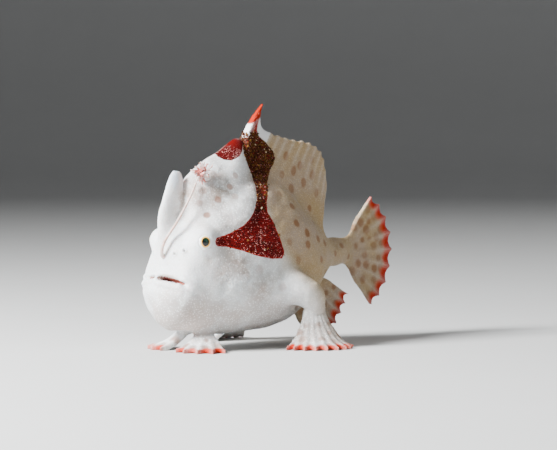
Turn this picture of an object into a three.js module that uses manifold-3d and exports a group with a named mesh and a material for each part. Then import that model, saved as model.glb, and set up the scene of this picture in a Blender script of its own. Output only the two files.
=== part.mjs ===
// A young warty frogfish, life size, standing on its fins as it does on a reef.
// It is a still model: head, jaw, trunk, tail, eyes, lure and fins are separate solids that meet
// with a narrow gap. Millimetres, +Z up, the snout towards -Y and the fish's left side towards +X.
// The origin is on the floor, under the middle of the model.

import * as THREE from "three";
import { LoftGeometry } from "three/addons/geometries/LoftGeometry.js";
import { mergeVertices } from "three/addons/utils/BufferGeometryUtils.js";
import Module from "manifold-3d";

const wasm = await Module();
wasm.setup();

// Driving dimensions
const BODY_LENGTH = 34; // chin to the end of the tail's stalk
const MIDDLE = 22.0; // distance behind the chin where the model's origin lies
const GAP = 0.3; // clear space between neighbouring solids
const FINEST = 0.006; // shape finer than this is smoothed away at the cuts
const HEAD_END = 12.4; // the cut behind the gill cover
const TRUNK_END = 28.4; // the cut at the start of the tail's stalk
const BEND_START = 22; // the tail curves to the fish's right from here
const BEND = 0.0042; // sideways travel per square millimetre behind that

// The body's outline. Each row is a station: distance behind the snout, height of the back,
// height of the belly, half width, and the height at which the body is widest.
const OUTLINE = [
  [0.0, 8.7, 8.7, 0.0, 8.7],
  [0.4, 10.9, 6.4, 2.3, 8.6],
  [1.2, 13.0, 4.9, 3.7, 8.7],
  [2.5, 15.2, 3.5, 4.7, 9.1],
  [4.0, 16.8, 2.8, 5.1, 9.5],
  [6.0, 18.4, 2.4, 5.6, 9.8],
  [9.0, 20.6, 2.1, 6.3, 10.1],
  [12.5, 22.5, 2.0, 6.8, 10.4],
  [16.0, 23.0, 2.2, 6.8, 10.8],
  [20.0, 21.7, 2.9, 6.4, 11.2],
  [24.0, 18.8, 4.8, 5.2, 11.7],
  [27.5, 15.4, 8.2, 3.5, 12.0],
  [30.0, 14.1, 10.0, 2.3, 12.0],
  [34.0, 13.9, 10.3, 1.2, 12.0],
];
const ROUNDNESS_LOW = 2.25; // section exponent below the widest point: over 2 is full
const ROUNDNESS_HIGH = 1.85; // above it: under 2 narrows towards the back

// Swellings and hollows of the skin, on the left side and mirrored to the right.
// Each is [x, behind the snout, z, radius, push in x, push back, push up].
const SWELLINGS = [
  [5.0, 4.9, 14.2, 2.1, 1.0, -0.3, 0.1], // eye mound
  [3.2, 3.0, 13.4, 1.9, -0.25, 0.2, -0.1], // hollow between eye and snout
  [6.2, 9.5, 8.6, 4.0, 0.55, 0.0, -0.1], // cheek
  [1.6, 0.9, 7.4, 2.4, 0.1, 0.3, 0.0], // chin
  [0.0, 3.0, 4.0, 2.2, 0.0, 0.0, -0.45], // chin from below
  [1.8, 0.9, 11.0, 2.2, 0.05, 1.0, 0.0], // upper lip
  [5.3, 15.5, 6.3, 2.6, -0.25, 0.0, 0.1], // hollow in front of the arm
  [4.4, 3.6, 8.6, 1.3, 0.3, -0.1, -0.1], // fold at the corner of the mouth
  [0.0, 5.0, 3.0, 1.1, 0.0, 0.0, 0.45], // throat fold
];

// The third spine's skin spreads over the upper head as a low pad: an ellipse, seen from the
// side, with a long axis that climbs towards the back
const PAD = { s: 9, z: 21, long: 6.7, high: 5.0, climb: 0.76, rise: 0.52 };

// Mouth, seen from the side: a wedge that narrows to the corner, where the jaw's edge turns down
const MOUTH_OPEN = 0.75; // height of the opening at the front
const MOUTH_FRONT = { s: -1, z: 10.9 };
const MOUTH_CORNER = { s: 2.9, z: 8.85 };
const JAW_BACK = [
  [3.7, 8.0],
  [4.5, 6.5],
  [4.9, 4.5],
  [5.0, 0.5],
];
// Height of each step of a lip beside the mouth, and how far it rises out of the skin
const LIP_STEPS = [
  [1.0, 0.1],
  [0.65, 0.2],
];

// Eyes: the lid is a cup round the ball that covers it out to `cover` beyond its centre
const EYE = { x: 4.75, s: 4.88, z: 14.2, radius: 1.25, lid: 0.3, cover: 0.62 };
const EYE_AXIS = new THREE.Vector3(0.88, -0.45, 0.1).normalize();
const NOSTRILS = [
  [1.6, 0.95],
  [2.6, 0.75],
]; // distance behind the chin, angle round the body

const COLOURS = {
  skin: 0xe9e6e0,
  saddle: 0x8c1f16,
  tip: 0xe8511a,
  eye: 0x14100c,
  lure: 0xd99a92,
};

// A smooth curve through the stations of one column, without overshoot between them.
// The station is read as the square root of its distance, which rounds the snout.
function through(column) {
  const x = OUTLINE.map((row) => Math.sqrt(row[0]));
  const y = OUTLINE.map((row) => row[column]);
  const slope = x.slice(1).map((v, i) => (y[i + 1] - y[i]) / (v - x[i]));
  const tangent = x.map((_, i) => {
    if (i === 0) return slope[0];
    if (i === x.length - 1) return slope[i - 1];
    const [a, b] = [slope[i - 1], slope[i]];
    return a * b <= 0 ? 0 : (2 * a * b) / (a + b);
  });
  return (s) => {
    const q = Math.sqrt(Math.min(Math.max(s, 0), BODY_LENGTH));
    let i = 0;
    while (i < x.length - 2 && q > x[i + 1]) i += 1;
    const h = x[i + 1] - x[i];
    const t = (q - x[i]) / h;
    const rise = (3 - 2 * t) * t * t;
    const start = t * (1 - t) * (1 - t) * tangent[i] * h;
    const end = t * t * (t - 1) * tangent[i + 1] * h;
    return y[i] + (y[i + 1] - y[i]) * rise + start + end;
  };
}
const back = through(1);
const belly = through(2);
const halfWidth = through(3);
const waist = through(4);

// A point x to the fish's left, s behind the snout and z above the floor, with the tail's curve.
function at(x, s, z) {
  const past = Math.max(s - BEND_START, 0);
  return new THREE.Vector3(x - BEND * past * past, s - MIDDLE, z);
}

function padLift(x, s, z) {
  const [u, v] = [s - PAD.s, z - PAD.z];
  const along = u * Math.cos(PAD.climb) + v * Math.sin(PAD.climb);
  const across = v * Math.cos(PAD.climb) - u * Math.sin(PAD.climb);
  const level = Math.hypot(along / PAD.long, across / PAD.high);
  const inside = 1 - THREE.MathUtils.smoothstep(level, 0.87, 1.04);
  return PAD.rise * inside * Math.min(Math.abs(x) / 2, 1);
}

function swell(x, s, z) {
  const lift = padLift(x, s, z);
  const point = [x + Math.sign(x) * lift * 0.8, s, z + lift * 0.4];
  for (const side of [1, -1]) {
    for (const [cx, cs, cz, radius, px, ps, pz] of SWELLINGS) {
      const away = Math.hypot(x - side * cx, s - cs, z - cz) / radius;
      const share = Math.exp(-away * away) * (cx === 0 ? 0.5 : 1);
      point[0] += side * px * share;
      point[1] += ps * share;
      point[2] += pz * share;
    }
  }
  return point;
}

const power = (value, exponent) =>
  Math.sign(value) * Math.abs(value) ** exponent;

// The skin at a station and an angle round the body: 0 is the left side, a quarter turn the back.
function skin(s, angle) {
  const rise = Math.sin(angle);
  const [reach, roundness] =
    rise > 0
      ? [back(s) - waist(s), ROUNDNESS_HIGH]
      : [waist(s) - belly(s), ROUNDNESS_LOW];
  const x = halfWidth(s) * power(Math.cos(angle), 2 / roundness);
  const z = waist(s) + reach * power(rise, 2 / roundness);
  return swell(x, s, z);
}

// Half the body's width at a height, without the swellings, and the station where the snout's
// surface has a given half width at a height.
function flank(s, z) {
  const [reach, roundness] =
    z > waist(s)
      ? [back(s) - waist(s), ROUNDNESS_HIGH]
      : [waist(s) - belly(s), ROUNDNESS_LOW];
  const level = Math.min(Math.abs(z - waist(s)) / reach, 1);
  return halfWidth(s) * (1 - level ** roundness) ** (1 / roundness);
}
function snoutAt(x, z) {
  let [near, far] = [0, 12];
  for (let i = 0; i < 30; i += 1) {
    const middle = (near + far) / 2;
    if (flank(middle, z) < Math.abs(x)) near = middle;
    else far = middle;
  }
  return far;
}

// A geometry with its shared points joined up, and the solid inside it
function joined(geometry) {
  const bare = new THREE.BufferGeometry();
  bare.setAttribute("position", geometry.attributes.position.clone());
  bare.setIndex(geometry.index);
  return mergeVertices(bare, 1e-4);
}
function solid(geometry) {
  const whole = joined(geometry);
  const corners = whole.attributes.position.array;
  const make = (triVerts) =>
    new wasm.Manifold(
      new wasm.Mesh({
        numProp: 3,
        vertProperties: new Float32Array(corners),
        triVerts,
      }),
    );
  const triangles = new Uint32Array(whole.index.array);
  const made = make(triangles);
  return made.volume() > 0 ? made : make(triangles.reverse());
}

const largest = (shape) =>
  shape.decompose().reduce((a, b) => (a.volume() > b.volume() ? a : b));

const fish = new THREE.Group();
function addPiece(name, shape, colour, roughness = 0.6) {
  const { vertProperties, triVerts } = largest(shape.simplify(FINEST)).getMesh();
  const geometry = new THREE.BufferGeometry();
  geometry.setAttribute(
    "position",
    new THREE.BufferAttribute(vertProperties, 3),
  );
  geometry.setIndex(new THREE.BufferAttribute(triVerts, 1));
  geometry.computeVertexNormals();
  const material = new THREE.MeshStandardMaterial({
    color: colour,
    roughness,
    metalness: 0,
  });
  const mesh = new THREE.Mesh(geometry, material);
  mesh.name = name;
  fish.add(mesh);
}

// The same shape with its skin moved outwards
function grown(geometry, by) {
  const merged = joined(geometry);
  merged.computeVertexNormals();
  const { position, normal } = merged.attributes;
  for (let i = 0; i < position.count; i += 1) {
    position.setXYZ(
      i,
      position.getX(i) + by * normal.getX(i),
      position.getY(i) + by * normal.getY(i),
      position.getZ(i) + by * normal.getZ(i),
    );
  }
  return solid(merged);
}

const keepFront = (shape, s) => shape.trimByPlane([0, -1, 0], MIDDLE - s);
const keepBack = (shape, s) => shape.trimByPlane([0, 1, 0], s - MIDDLE);
const aboveFloor = (shape) => shape.trimByPlane([0, 0, 1], 0);
const mirrored = (shape) => shape.mirror([1, 0, 0]);

// A tube through centres, each [x, s, z], with an elliptical section whose two radii are given
// at each centre. The first radius lies across `side`, the second across the path and `side`.
function tube(centres, radii, side, corners = 12) {
  const path = new THREE.CatmullRomCurve3(centres.map((c) => at(...c)));
  const steps = centres.length - 1;
  const sections = [];
  for (let i = 0; i <= steps * 2; i += 1) {
    const u = i / (steps * 2);
    const centre = path.getPoint(u);
    const along = path.getTangent(u);
    const second = new THREE.Vector3().crossVectors(along, side).normalize();
    const first = new THREE.Vector3().crossVectors(second, along).normalize();
    const [low, high] = [Math.floor(u * steps), Math.ceil(u * steps)];
    const blend = u * steps - low;
    const [a, b] = [0, 1].map((k) =>
      THREE.MathUtils.lerp(radii[low][k], radii[high][k], blend),
    );
    sections.push(
      Array.from({ length: corners }, (_, j) => {
        const angle = (j / corners) * 2 * Math.PI;
        return centre
          .clone()
          .addScaledVector(first, a * Math.cos(angle))
          .addScaledVector(second, b * Math.sin(angle));
      }),
    );
  }
  return new LoftGeometry(sections, { capStart: true, capEnd: true });
}

// A fin: rays run out from the root, a thinner web joins them, and each ray is a ridge in the
// fin's own surface, the same on both faces. ray(i, v) gives [x, s, z] along ray i. The margin is
// cut in by a share of the ray's length between rays, and by `notch` behind the first one.
const WEB_COLUMNS = [0, 0.3, 0.7]; // ridge, then the web's two edges, in each space between rays
function finGeometry({ rays, rows, ray, thick, webThick, scallop, notch = scallop }) {
  const columns = [];
  for (let i = 0; i < rays - 1; i += 1)
    for (const part of WEB_COLUMNS) columns.push([i, part]);
  columns.push([rays - 1, 0]);

  const middle = ([i, part], v) => {
    const cut = 1 - (i === 0 ? notch : scallop) * Math.sin(Math.PI * part);
    const low = new THREE.Vector3(...ray(i, v * cut));
    const high = new THREE.Vector3(...ray(Math.min(i + 1, rays - 1), v * cut));
    return low.lerp(high, part);
  };
  const positions = [];
  for (const side of [1, -1]) {
    columns.forEach((column, c) => {
      for (let r = 0; r <= rows; r += 1) {
        const v = r / rows;
        const here = middle(column, v);
        const before = middle(columns[Math.max(c - 1, 0)], v);
        const after = middle(columns[Math.min(c + 1, columns.length - 1)], v);
        const out = middle(column, v + 0.02).sub(middle(column, v - 0.02));
        const normal = after.sub(before).cross(out).normalize();
        const ridge = column[1] === 0;
        const half = (ridge ? thick(v) : webThick(v)) / 2;
        here.addScaledVector(normal, side * half);
        positions.push(at(here.x, here.y, here.z));
      }
    });
  }
  const count = columns.length * (rows + 1);
  const index = [];
  const quad = (a, b, c, d) => index.push(a, b, c, a, c, d);
  for (let c = 0; c < columns.length - 1; c += 1) {
    for (let r = 0; r < rows; r += 1) {
      const [a, b] = [c * (rows + 1) + r, (c + 1) * (rows + 1) + r];
      quad(a, b, b + 1, a + 1);
      // The far face has the same diagonal, wound the other way
      index.push(count + a, count + b + 1, count + b);
      index.push(count + a, count + a + 1, count + b + 1);
    }
  }
  const rim = [];
  const last = columns.length - 1;
  for (let r = 0; r < rows; r += 1) rim.push(r);
  for (let c = 0; c < last; c += 1) rim.push(c * (rows + 1) + rows);
  for (let r = rows; r > 0; r -= 1) rim.push(last * (rows + 1) + r);
  for (let c = last; c > 0; c -= 1) rim.push(c * (rows + 1));
  rim.forEach((a, k) => {
    const b = rim[(k + 1) % rim.length];
    quad(a, b, count + b, count + a);
  });
  return new THREE.BufferGeometry().setFromPoints(positions).setIndex(index);
}

const between = THREE.MathUtils.lerp;
const taper = (root, tip) => (v) => between(root, tip, Math.max(v, 0) ** 0.6);

// Body, modelled whole
const RINGS = 36;
const RING_POINTS = 36;
const SNOUT_START = 0.025; // square root of the first ring's share of the length
const rings = Array.from({ length: RINGS + 1 }, (_, i) => {
  const q = between(SNOUT_START, 1, i / RINGS);
  return Array.from({ length: RING_POINTS }, (_, j) =>
    at(...skin(BODY_LENGTH * q * q, -(j / RING_POINTS) * 2 * Math.PI)),
  );
});
const bodyGeometry = new LoftGeometry(rings, { capStart: true, capEnd: true });
const body = solid(bodyGeometry);
const clearOfBody = grown(bodyGeometry, GAP);

// A block drawn from the side, [behind the chin, height], that runs right through the fish
function fromTheSide(corners) {
  const outline = new THREE.Shape(corners.map(([s, z]) => new THREE.Vector2(s, z)));
  const block = new THREE.ExtrudeGeometry(outline, {
    depth: 30,
    bevelEnabled: false,
  });
  // The drawing's x and y become the body's length and height
  block.applyMatrix4(
    new THREE.Matrix4().makeBasis(
      new THREE.Vector3(0, 1, 0),
      new THREE.Vector3(0, 0, 1),
      new THREE.Vector3(1, 0, 0),
    ),
  );
  block.translate(-15, -MIDDLE, 0);
  return solid(block);
}
const mouth = fromTheSide([
  [MOUTH_FRONT.s, MOUTH_FRONT.z - MOUTH_OPEN / 2],
  [MOUTH_CORNER.s, MOUTH_CORNER.z - GAP / 2],
  ...JAW_BACK.map(([s, z]) => [s - GAP / 2, z - GAP / 4]),
  ...[...JAW_BACK].reverse().map(([s, z]) => [s + GAP / 2, z + GAP / 4]),
  [MOUTH_CORNER.s, MOUTH_CORNER.z + GAP / 2],
  [MOUTH_FRONT.s, MOUTH_FRONT.z + MOUTH_OPEN / 2],
]);

// A lip is the body's skin raised in a band that follows the mouth and narrows to its corner
function lip(side) {
  return LIP_STEPS.map(([height, rise]) =>
    grown(bodyGeometry, rise).intersect(
      fromTheSide([
        [MOUTH_FRONT.s, MOUTH_FRONT.z],
        [MOUTH_CORNER.s, MOUTH_CORNER.z],
        [MOUTH_CORNER.s + 0.1 * side, MOUTH_CORNER.z + 0.35 * height * side],
        [MOUTH_FRONT.s, MOUTH_FRONT.z + (height + MOUTH_OPEN / 2) * side],
      ]),
    ),
  ).reduce((sum, step) => sum.add(step));
}

// Eyes
function eyeball(radius, widthSegments = 16, heightSegments = 10) {
  const ball = new THREE.SphereGeometry(radius, widthSegments, heightSegments);
  ball.translate(...at(EYE.x, EYE.s, EYE.z).toArray());
  return solid(ball);
}
const socket = eyeball(EYE.radius + GAP);
const eyelid = eyeball(EYE.radius + GAP + EYE.lid, 18, 12).trimByPlane(
  EYE_AXIS.clone().negate().toArray(),
  -EYE_AXIS.dot(at(EYE.x, EYE.s, EYE.z)) - EYE.cover,
);

// A point of the skin, and the direction straight out of it
function onSkin(s, angle) {
  const point = at(...skin(s, angle));
  const along = at(...skin(s + 0.05, angle)).sub(point);
  const around = at(...skin(s, angle + 0.01)).sub(point);
  return { point, out: along.cross(around).normalize() };
}
function ring({ point, out }, radius, thickness, turns) {
  const torus = new THREE.TorusGeometry(radius, thickness, 6, turns);
  torus.applyQuaternion(
    new THREE.Quaternion().setFromUnitVectors(new THREE.Vector3(0, 0, 1), out),
  );
  torus.translate(...point.toArray());
  return solid(torus);
}
const nostrils = NOSTRILS.map(([s, angle]) =>
  ring(onSkin(s, angle), 0.3, 0.17, 10),
);

const face = [eyelid, ...nostrils];
let head = body.subtract(mouth);
const [jawPart, headPart] = (() => {
  const parts = head
    .decompose()
    .sort((a, b) => a.boundingBox().max[1] - b.boundingBox().max[1]);
  return [parts[0], parts[parts.length - 1]];
})();
head = face
  .flatMap((piece) => [piece, mirrored(piece)])
  .concat(lip(1))
  .reduce((sum, piece) => sum.add(piece), headPart)
  .subtract(socket)
  .subtract(mirrored(socket))
  .subtract(mouth);
addPiece("head", keepFront(head, HEAD_END - GAP / 2), COLOURS.skin);
addPiece(
  "lower_jaw",
  jawPart.add(lip(-1)).subtract(mouth),
  COLOURS.skin,
);
addPiece("eye_left", eyeball(EYE.radius), COLOURS.eye, 0.15);
addPiece("eye_right", mirrored(eyeball(EYE.radius)), COLOURS.eye, 0.15);

// Trunk, with the small round gill opening behind each arm, and tail stalk
const GILL = { s: 20.3, angle: -0.75, radius: 0.55 };
const gill = onSkin(GILL.s, GILL.angle);
const gillRing = ring(gill, GILL.radius, 0.26, 12);
const gillHole = new THREE.SphereGeometry(GILL.radius * 0.8, 10, 8);
gillHole.translate(...gill.point.toArray());
const trunk = [gillRing, mirrored(gillRing)]
  .reduce((sum, ring) => sum.add(ring), body)
  .subtract(solid(gillHole))
  .subtract(mirrored(solid(gillHole)));
addPiece(
  "trunk",
  keepFront(keepBack(trunk, HEAD_END + GAP / 2), TRUNK_END - GAP / 2),
  COLOURS.skin,
);
addPiece("tail", keepBack(body, TRUNK_END + GAP / 2), COLOURS.skin);

// Second dorsal spine: a blunt blade on the snout
const SECOND_SPINE = {
  centres: [
    [0, 3.3, 12.8],
    [0, 2.75, 14.9],
    [0, 2.75, 17.2],
    [0, 3.25, 19.0],
    [0, 3.7, 20.8],
    [0, 4.1, 22.6],
    [0, 4.2, 23.3],
  ],
  // half thickness across the fish, half length along it
  radii: [
    [1.2, 1.2],
    [1.0, 1.55],
    [0.75, 1.48],
    [0.65, 1.42],
    [0.6, 1.3],
    [0.5, 1.02],
    [0.3, 0.6],
  ],
};
const secondSpine = solid(
  tube(
    SECOND_SPINE.centres,
    SECOND_SPINE.radii,
    new THREE.Vector3(1, 0, 0),
    14,
  ),
);
addPiece(
  "second_dorsal_spine",
  secondSpine.subtract(clearOfBody),
  COLOURS.skin,
);

// Third dorsal spine: a thick domed hump on the nape whose crest rises to a red tip.
// Each row: distance behind the snout, crest height, half thickness at the foot
const HUMP = [
  [5.0, 18.4, 0.5],
  [5.15, 20.4, 1.2],
  [5.6, 22.2, 2.1],
  [7.0, 23.6, 3.0],
  [9.0, 24.7, 3.7],
  [11.0, 25.7, 3.9],
  [12.8, 26.9, 3.6],
  [14.1, 27.6, 2.9],
  [14.9, 27.5, 1.9],
];
const HUMP_FOOT = 15.5; // height of its hidden foot inside the head
const humpCurve = new THREE.CatmullRomCurve3(
  HUMP.map(([s, crest, foot]) => new THREE.Vector3(foot, s, crest)),
);
const HUMP_SECTIONS = 13;
const humpSections = Array.from({ length: HUMP_SECTIONS }, (_, i) => {
  const { x: foot, y: s, z: crest } = humpCurve.getPoint(i / (HUMP_SECTIONS - 1));
  const profile = [];
  for (let k = 0; k <= 8; k += 1) {
    const v = Math.sin((k / 8) * (Math.PI / 2));
    const half = foot * (1 - v ** 2.4) ** (1 / 1.5) + 0.06;
    profile.push([half, s, between(HUMP_FOOT, crest, v)]);
  }
  const right = profile.map(([x, y, z]) => at(-x, y, z));
  const left = [...profile].reverse().map(([x, y, z]) => at(x, y, z));
  return [...right, ...left];
});
const hump = solid(
  new LoftGeometry(humpSections, { capStart: true, capEnd: true }),
);
addPiece("third_dorsal_spine", hump.subtract(clearOfBody), COLOURS.skin);

// Lure: a thin rod from the snout, folded back beside the second spine, with a fleshy bait
const ROD = {
  centres: [
    [0.4, 1.3, 12.2],
    [1.3, 1.1, 14.2],
    [2.1, 2.6, 16.8],
    [2.25, 4.4, 19.6],
    [2.0, 5.8, 21.8],
  ],
  radius: 0.27,
};
const rod = solid(
  tube(
    ROD.centres,
    ROD.centres.map((_, i) => [ROD.radius - 0.02 * i, ROD.radius - 0.02 * i]),
    new THREE.Vector3(1, 0, 0),
    8,
  ),
);
addPiece(
  "illicium",
  rod.subtract(clearOfBody).subtract(grown(tube(
    SECOND_SPINE.centres,
    SECOND_SPINE.radii,
    new THREE.Vector3(1, 0, 0),
    14,
  ), GAP)),
  COLOURS.lure,
);
const BAIT = { x: 2.1, s: 6.5, z: 23.0, radius: 0.62 };
const BAIT_LOBES = 6;
function bait() {
  const lobes = [];
  for (let i = 0; i < BAIT_LOBES; i += 1) {
    const turn = (i / BAIT_LOBES) * 2 * Math.PI;
    const tilt = 0.5 + 0.25 * Math.sin(3 * turn);
    const reach = 1.15 + 0.35 * Math.sin(2 * turn + 1);
    const away = [0.35, Math.cos(turn), Math.sin(turn)];
    const points = [0, 0.45, 1].map((v) => [
      BAIT.x + away[0] * v * tilt,
      BAIT.s + away[1] * v * reach,
      BAIT.z + away[2] * v * reach,
    ]);
    lobes.push(
      solid(
        tube(
          points,
          [
            [0.34, 0.34],
            [0.3, 0.3],
            [0.17, 0.17],
          ],
          new THREE.Vector3(1, 0, 0.2),
          6,
        ),
      ),
    );
  }
  const heart = new THREE.SphereGeometry(BAIT.radius, 10, 8);
  heart.translate(...at(BAIT.x, BAIT.s, BAIT.z).toArray());
  return lobes.reduce((sum, lobe) => sum.add(lobe), solid(heart));
}
addPiece(
  "esca",
  bait()
    .subtract(
      grown(new LoftGeometry(humpSections, { capStart: true, capEnd: true }), GAP),
    )
    .subtract(
      grown(
        tube(
          ROD.centres,
          ROD.centres.map(() => [ROD.radius, ROD.radius]),
          new THREE.Vector3(1, 0, 0),
          8,
        ),
        GAP,
      ),
    )
    .subtract(clearOfBody),
  COLOURS.lure,
);

// Soft dorsal fin: twelve rays along the back, the first one long and free at its tip
const DORSAL = { rays: 12, start: 14.5, end: 28.0 };
const DORSAL_LENGTHS = [10.3, 7.4, 7.3, 7.4, 7.7, 8.2, 8.7, 9.1, 9.3, 9.2, 8.6, 7.4];
const dorsalFin = finGeometry({
  rays: DORSAL.rays,
  rows: 8,
  scallop: 0.07,
  notch: 0.14,
  thick: taper(4.4, 0.62),
  webThick: taper(4.2, 0.5),
  ray: (i, v) => {
    const share = i / (DORSAL.rays - 1);
    const s = between(DORSAL.start, DORSAL.end, share);
    const length = DORSAL_LENGTHS[i];
    const lean = THREE.MathUtils.degToRad(
      i === 0 ? 3 : between(30, 12, share) + 10 * Math.sin(Math.PI * share),
    );
    const reach = length * v;
    return [
      0,
      s + reach * Math.sin(lean) + (i === 0 ? 0.0025 * Math.max(reach, 0) ** 3.1 : 0.008 * reach * reach),
      back(s) - 1.1 + reach * Math.cos(lean),
    ];
  },
});
addPiece(
  "dorsal_fin",
  solid(dorsalFin)
    .subtract(clearOfBody)
    .subtract(
      grown(new LoftGeometry(humpSections, { capStart: true, capEnd: true }), GAP),
    ),
  COLOURS.skin,
);

// Anal fin: seven rays under the rear of the trunk
const ANAL = { rays: 7, start: 23.0, end: 28.0 };
const analFin = finGeometry({
  rays: ANAL.rays,
  rows: 6,
  scallop: 0.09,
  thick: taper(1.2, 0.62),
  webThick: taper(1.0, 0.5),
  ray: (i, v) => {
    const share = i / (ANAL.rays - 1);
    const s = between(ANAL.start, ANAL.end, share);
    const length = 5.2 + 2.0 * Math.sin(Math.PI * (0.2 + 0.6 * share));
    const lean = THREE.MathUtils.degToRad(between(38, 58, share));
    const reach = length * v;
    return [
      0,
      s + reach * Math.sin(lean) + 0.02 * reach * reach,
      belly(s) + 0.9 - reach * Math.cos(lean),
    ];
  },
});
addPiece("anal_fin", solid(analFin).subtract(clearOfBody), COLOURS.skin);

// Tail fin: nine rays that fan out from the stalk's end
const CAUDAL = { rays: 9, length: 10.2, spread: 46, root: 3.4 };
const caudalFin = finGeometry({
  rays: CAUDAL.rays,
  rows: 8,
  scallop: 0.06,
  thick: taper(1.3, 0.62),
  webThick: taper(1.1, 0.5),
  ray: (i, v) => {
    const share = (2 * i) / (CAUDAL.rays - 1) - 1;
    const turn = THREE.MathUtils.degToRad(CAUDAL.spread * share);
    const length = CAUDAL.length * (1 - 0.2 * share * share) * v;
    const bend = Math.min(Math.max(v, 0) * 2.2, 1); // rays leave the stalk nearly level
    const across = length * Math.sin(turn) * between(0.55, 1, bend);
    return [
      0,
      BODY_LENGTH - 0.6 + length * Math.cos(turn),
      waist(BODY_LENGTH) + share * (CAUDAL.root / 2) + across,
    ];
  },
});
addPiece(
  "caudal_fin",
  keepBack(solid(caudalFin), BODY_LENGTH + GAP),
  COLOURS.skin,
);

// Pectoral limbs: an arm from the flank to the wrist, and a spread hand that stands on the floor
const ARM = {
  centres: [
    [4.6, 16.4, 8.1],
    [6.0, 17.9, 8.1],
    [7.2, 19.5, 7.5],
    [7.8, 20.7, 6.4],
    [7.8, 21.3, 5.2],
  ],
  radii: [
    [2.6, 2.3],
    [2.4, 2.1],
    [2.05, 1.8],
    [1.7, 1.45],
    [1.3, 1.1],
  ],
};
const UP = new THREE.Vector3(0, 0, 1);
const armGeometry = tube(ARM.centres, ARM.radii, UP, 16);
const arm = solid(armGeometry).subtract(clearOfBody);

// Rays of a hand or foot leave the wrist side by side, drop to the floor and end flat on it
function footRay({ wrist, width, from, to, rays, length, sole }) {
  const straight = THREE.MathUtils.degToRad((from + to) / 2);
  return (i, v) => {
    const share = i / (rays - 1);
    const aside = width * (share - 0.5);
    const turn = THREE.MathUtils.degToRad(between(from, to, share));
    const span = length * (1 - 0.18 * (2 * share - 1) ** 2);
    const reach = span * v;
    const drop = (1 - Math.min(v, 1)) ** 2.2;
    return [
      wrist[0] + aside * Math.cos(straight) + reach * Math.sin(turn),
      wrist[1] + aside * Math.sin(straight) - reach * Math.cos(turn),
      sole + (wrist[2] - sole) * drop,
    ];
  };
}
const HAND = {
  wrist: [7.5, 21.0, 5.2],
  width: 2.4,
  from: 15,
  to: 125,
  rays: 9,
  length: 5.4,
  sole: 0.2,
};
const handGeometry = finGeometry({
  rays: HAND.rays,
  rows: 6,
  scallop: 0.19,
  thick: taper(1.5, 0.74),
  webThick: taper(1.25, 0.55),
  ray: footRay(HAND),
});
const hand = aboveFloor(solid(handGeometry).subtract(grown(armGeometry, GAP)));

// Pelvic limbs: smaller feet under the throat
const FOOT = {
  wrist: [1.9, 7.6, 3.0],
  width: 1.8,
  from: 5,
  to: 72,
  rays: 5,
  length: 5.6,
  sole: 0.2,
};
const footGeometry = finGeometry({
  rays: FOOT.rays,
  rows: 6,
  scallop: 0.2,
  thick: taper(1.7, 0.74),
  webThick: taper(1.5, 0.55),
  ray: footRay(FOOT),
});
const foot = aboveFloor(solid(footGeometry).subtract(clearOfBody));

for (const [side, turned] of [
  ["left", (shape) => shape],
  ["right", mirrored],
]) {
  addPiece("pectoral_arm_" + side, turned(arm), COLOURS.skin);
  addPiece("pectoral_fin_" + side, turned(hand), COLOURS.skin);
  addPiece("pelvic_fin_" + side, turned(foot), COLOURS.skin);
}

export default fish;
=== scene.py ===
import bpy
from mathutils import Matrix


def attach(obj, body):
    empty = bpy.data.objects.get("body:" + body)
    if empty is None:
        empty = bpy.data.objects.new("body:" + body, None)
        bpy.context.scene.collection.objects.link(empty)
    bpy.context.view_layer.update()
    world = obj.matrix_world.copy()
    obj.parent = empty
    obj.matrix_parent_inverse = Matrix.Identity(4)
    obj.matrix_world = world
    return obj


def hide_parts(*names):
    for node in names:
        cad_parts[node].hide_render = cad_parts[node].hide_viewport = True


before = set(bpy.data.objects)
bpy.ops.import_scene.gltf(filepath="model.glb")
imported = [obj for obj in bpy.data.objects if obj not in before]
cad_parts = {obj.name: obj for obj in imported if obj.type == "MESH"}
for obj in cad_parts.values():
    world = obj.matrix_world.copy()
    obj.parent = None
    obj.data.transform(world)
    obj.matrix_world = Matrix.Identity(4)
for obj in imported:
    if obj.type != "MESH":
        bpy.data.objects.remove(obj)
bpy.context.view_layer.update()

import copy
import math

import bmesh
import bpy
import numpy as np
from mathutils import Vector, kdtree

bl_info = {
    "name": "Young warty frogfish",
    "version": (1, 0, 0),
    "blender": (4, 5, 0),
    "location": "View3D > Sidebar > Frogfish",
    "description": "Dresses the solids of a young frogfish: skin, eyes, teeth, lure and studio",
    "category": "Object",
}

# All shapes are worked out in millimetres along a straight fish: x to its left, s behind the chin,
# z above the floor. The tail's curve is put in last, with the step to metres.
MM = 0.001
SIDEWAYS = np.array([1.0, 0.0, 0.0])
UPWARDS = np.array([0.0, 0.0, 1.0])
BODY_LENGTH = 34.0
MIDDLE = 22.0
BEND_START = 22.0
BEND = 0.0042

FLESH = ["head", "lower_jaw", "trunk", "tail", "second_dorsal_spine", "third_dorsal_spine"]
FLESH += ["dorsal_fin", "anal_fin", "caudal_fin"]
for limb in ("pectoral_arm", "pectoral_fin", "pelvic_fin"):
    FLESH += [limb + "_left", limb + "_right"]

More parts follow.
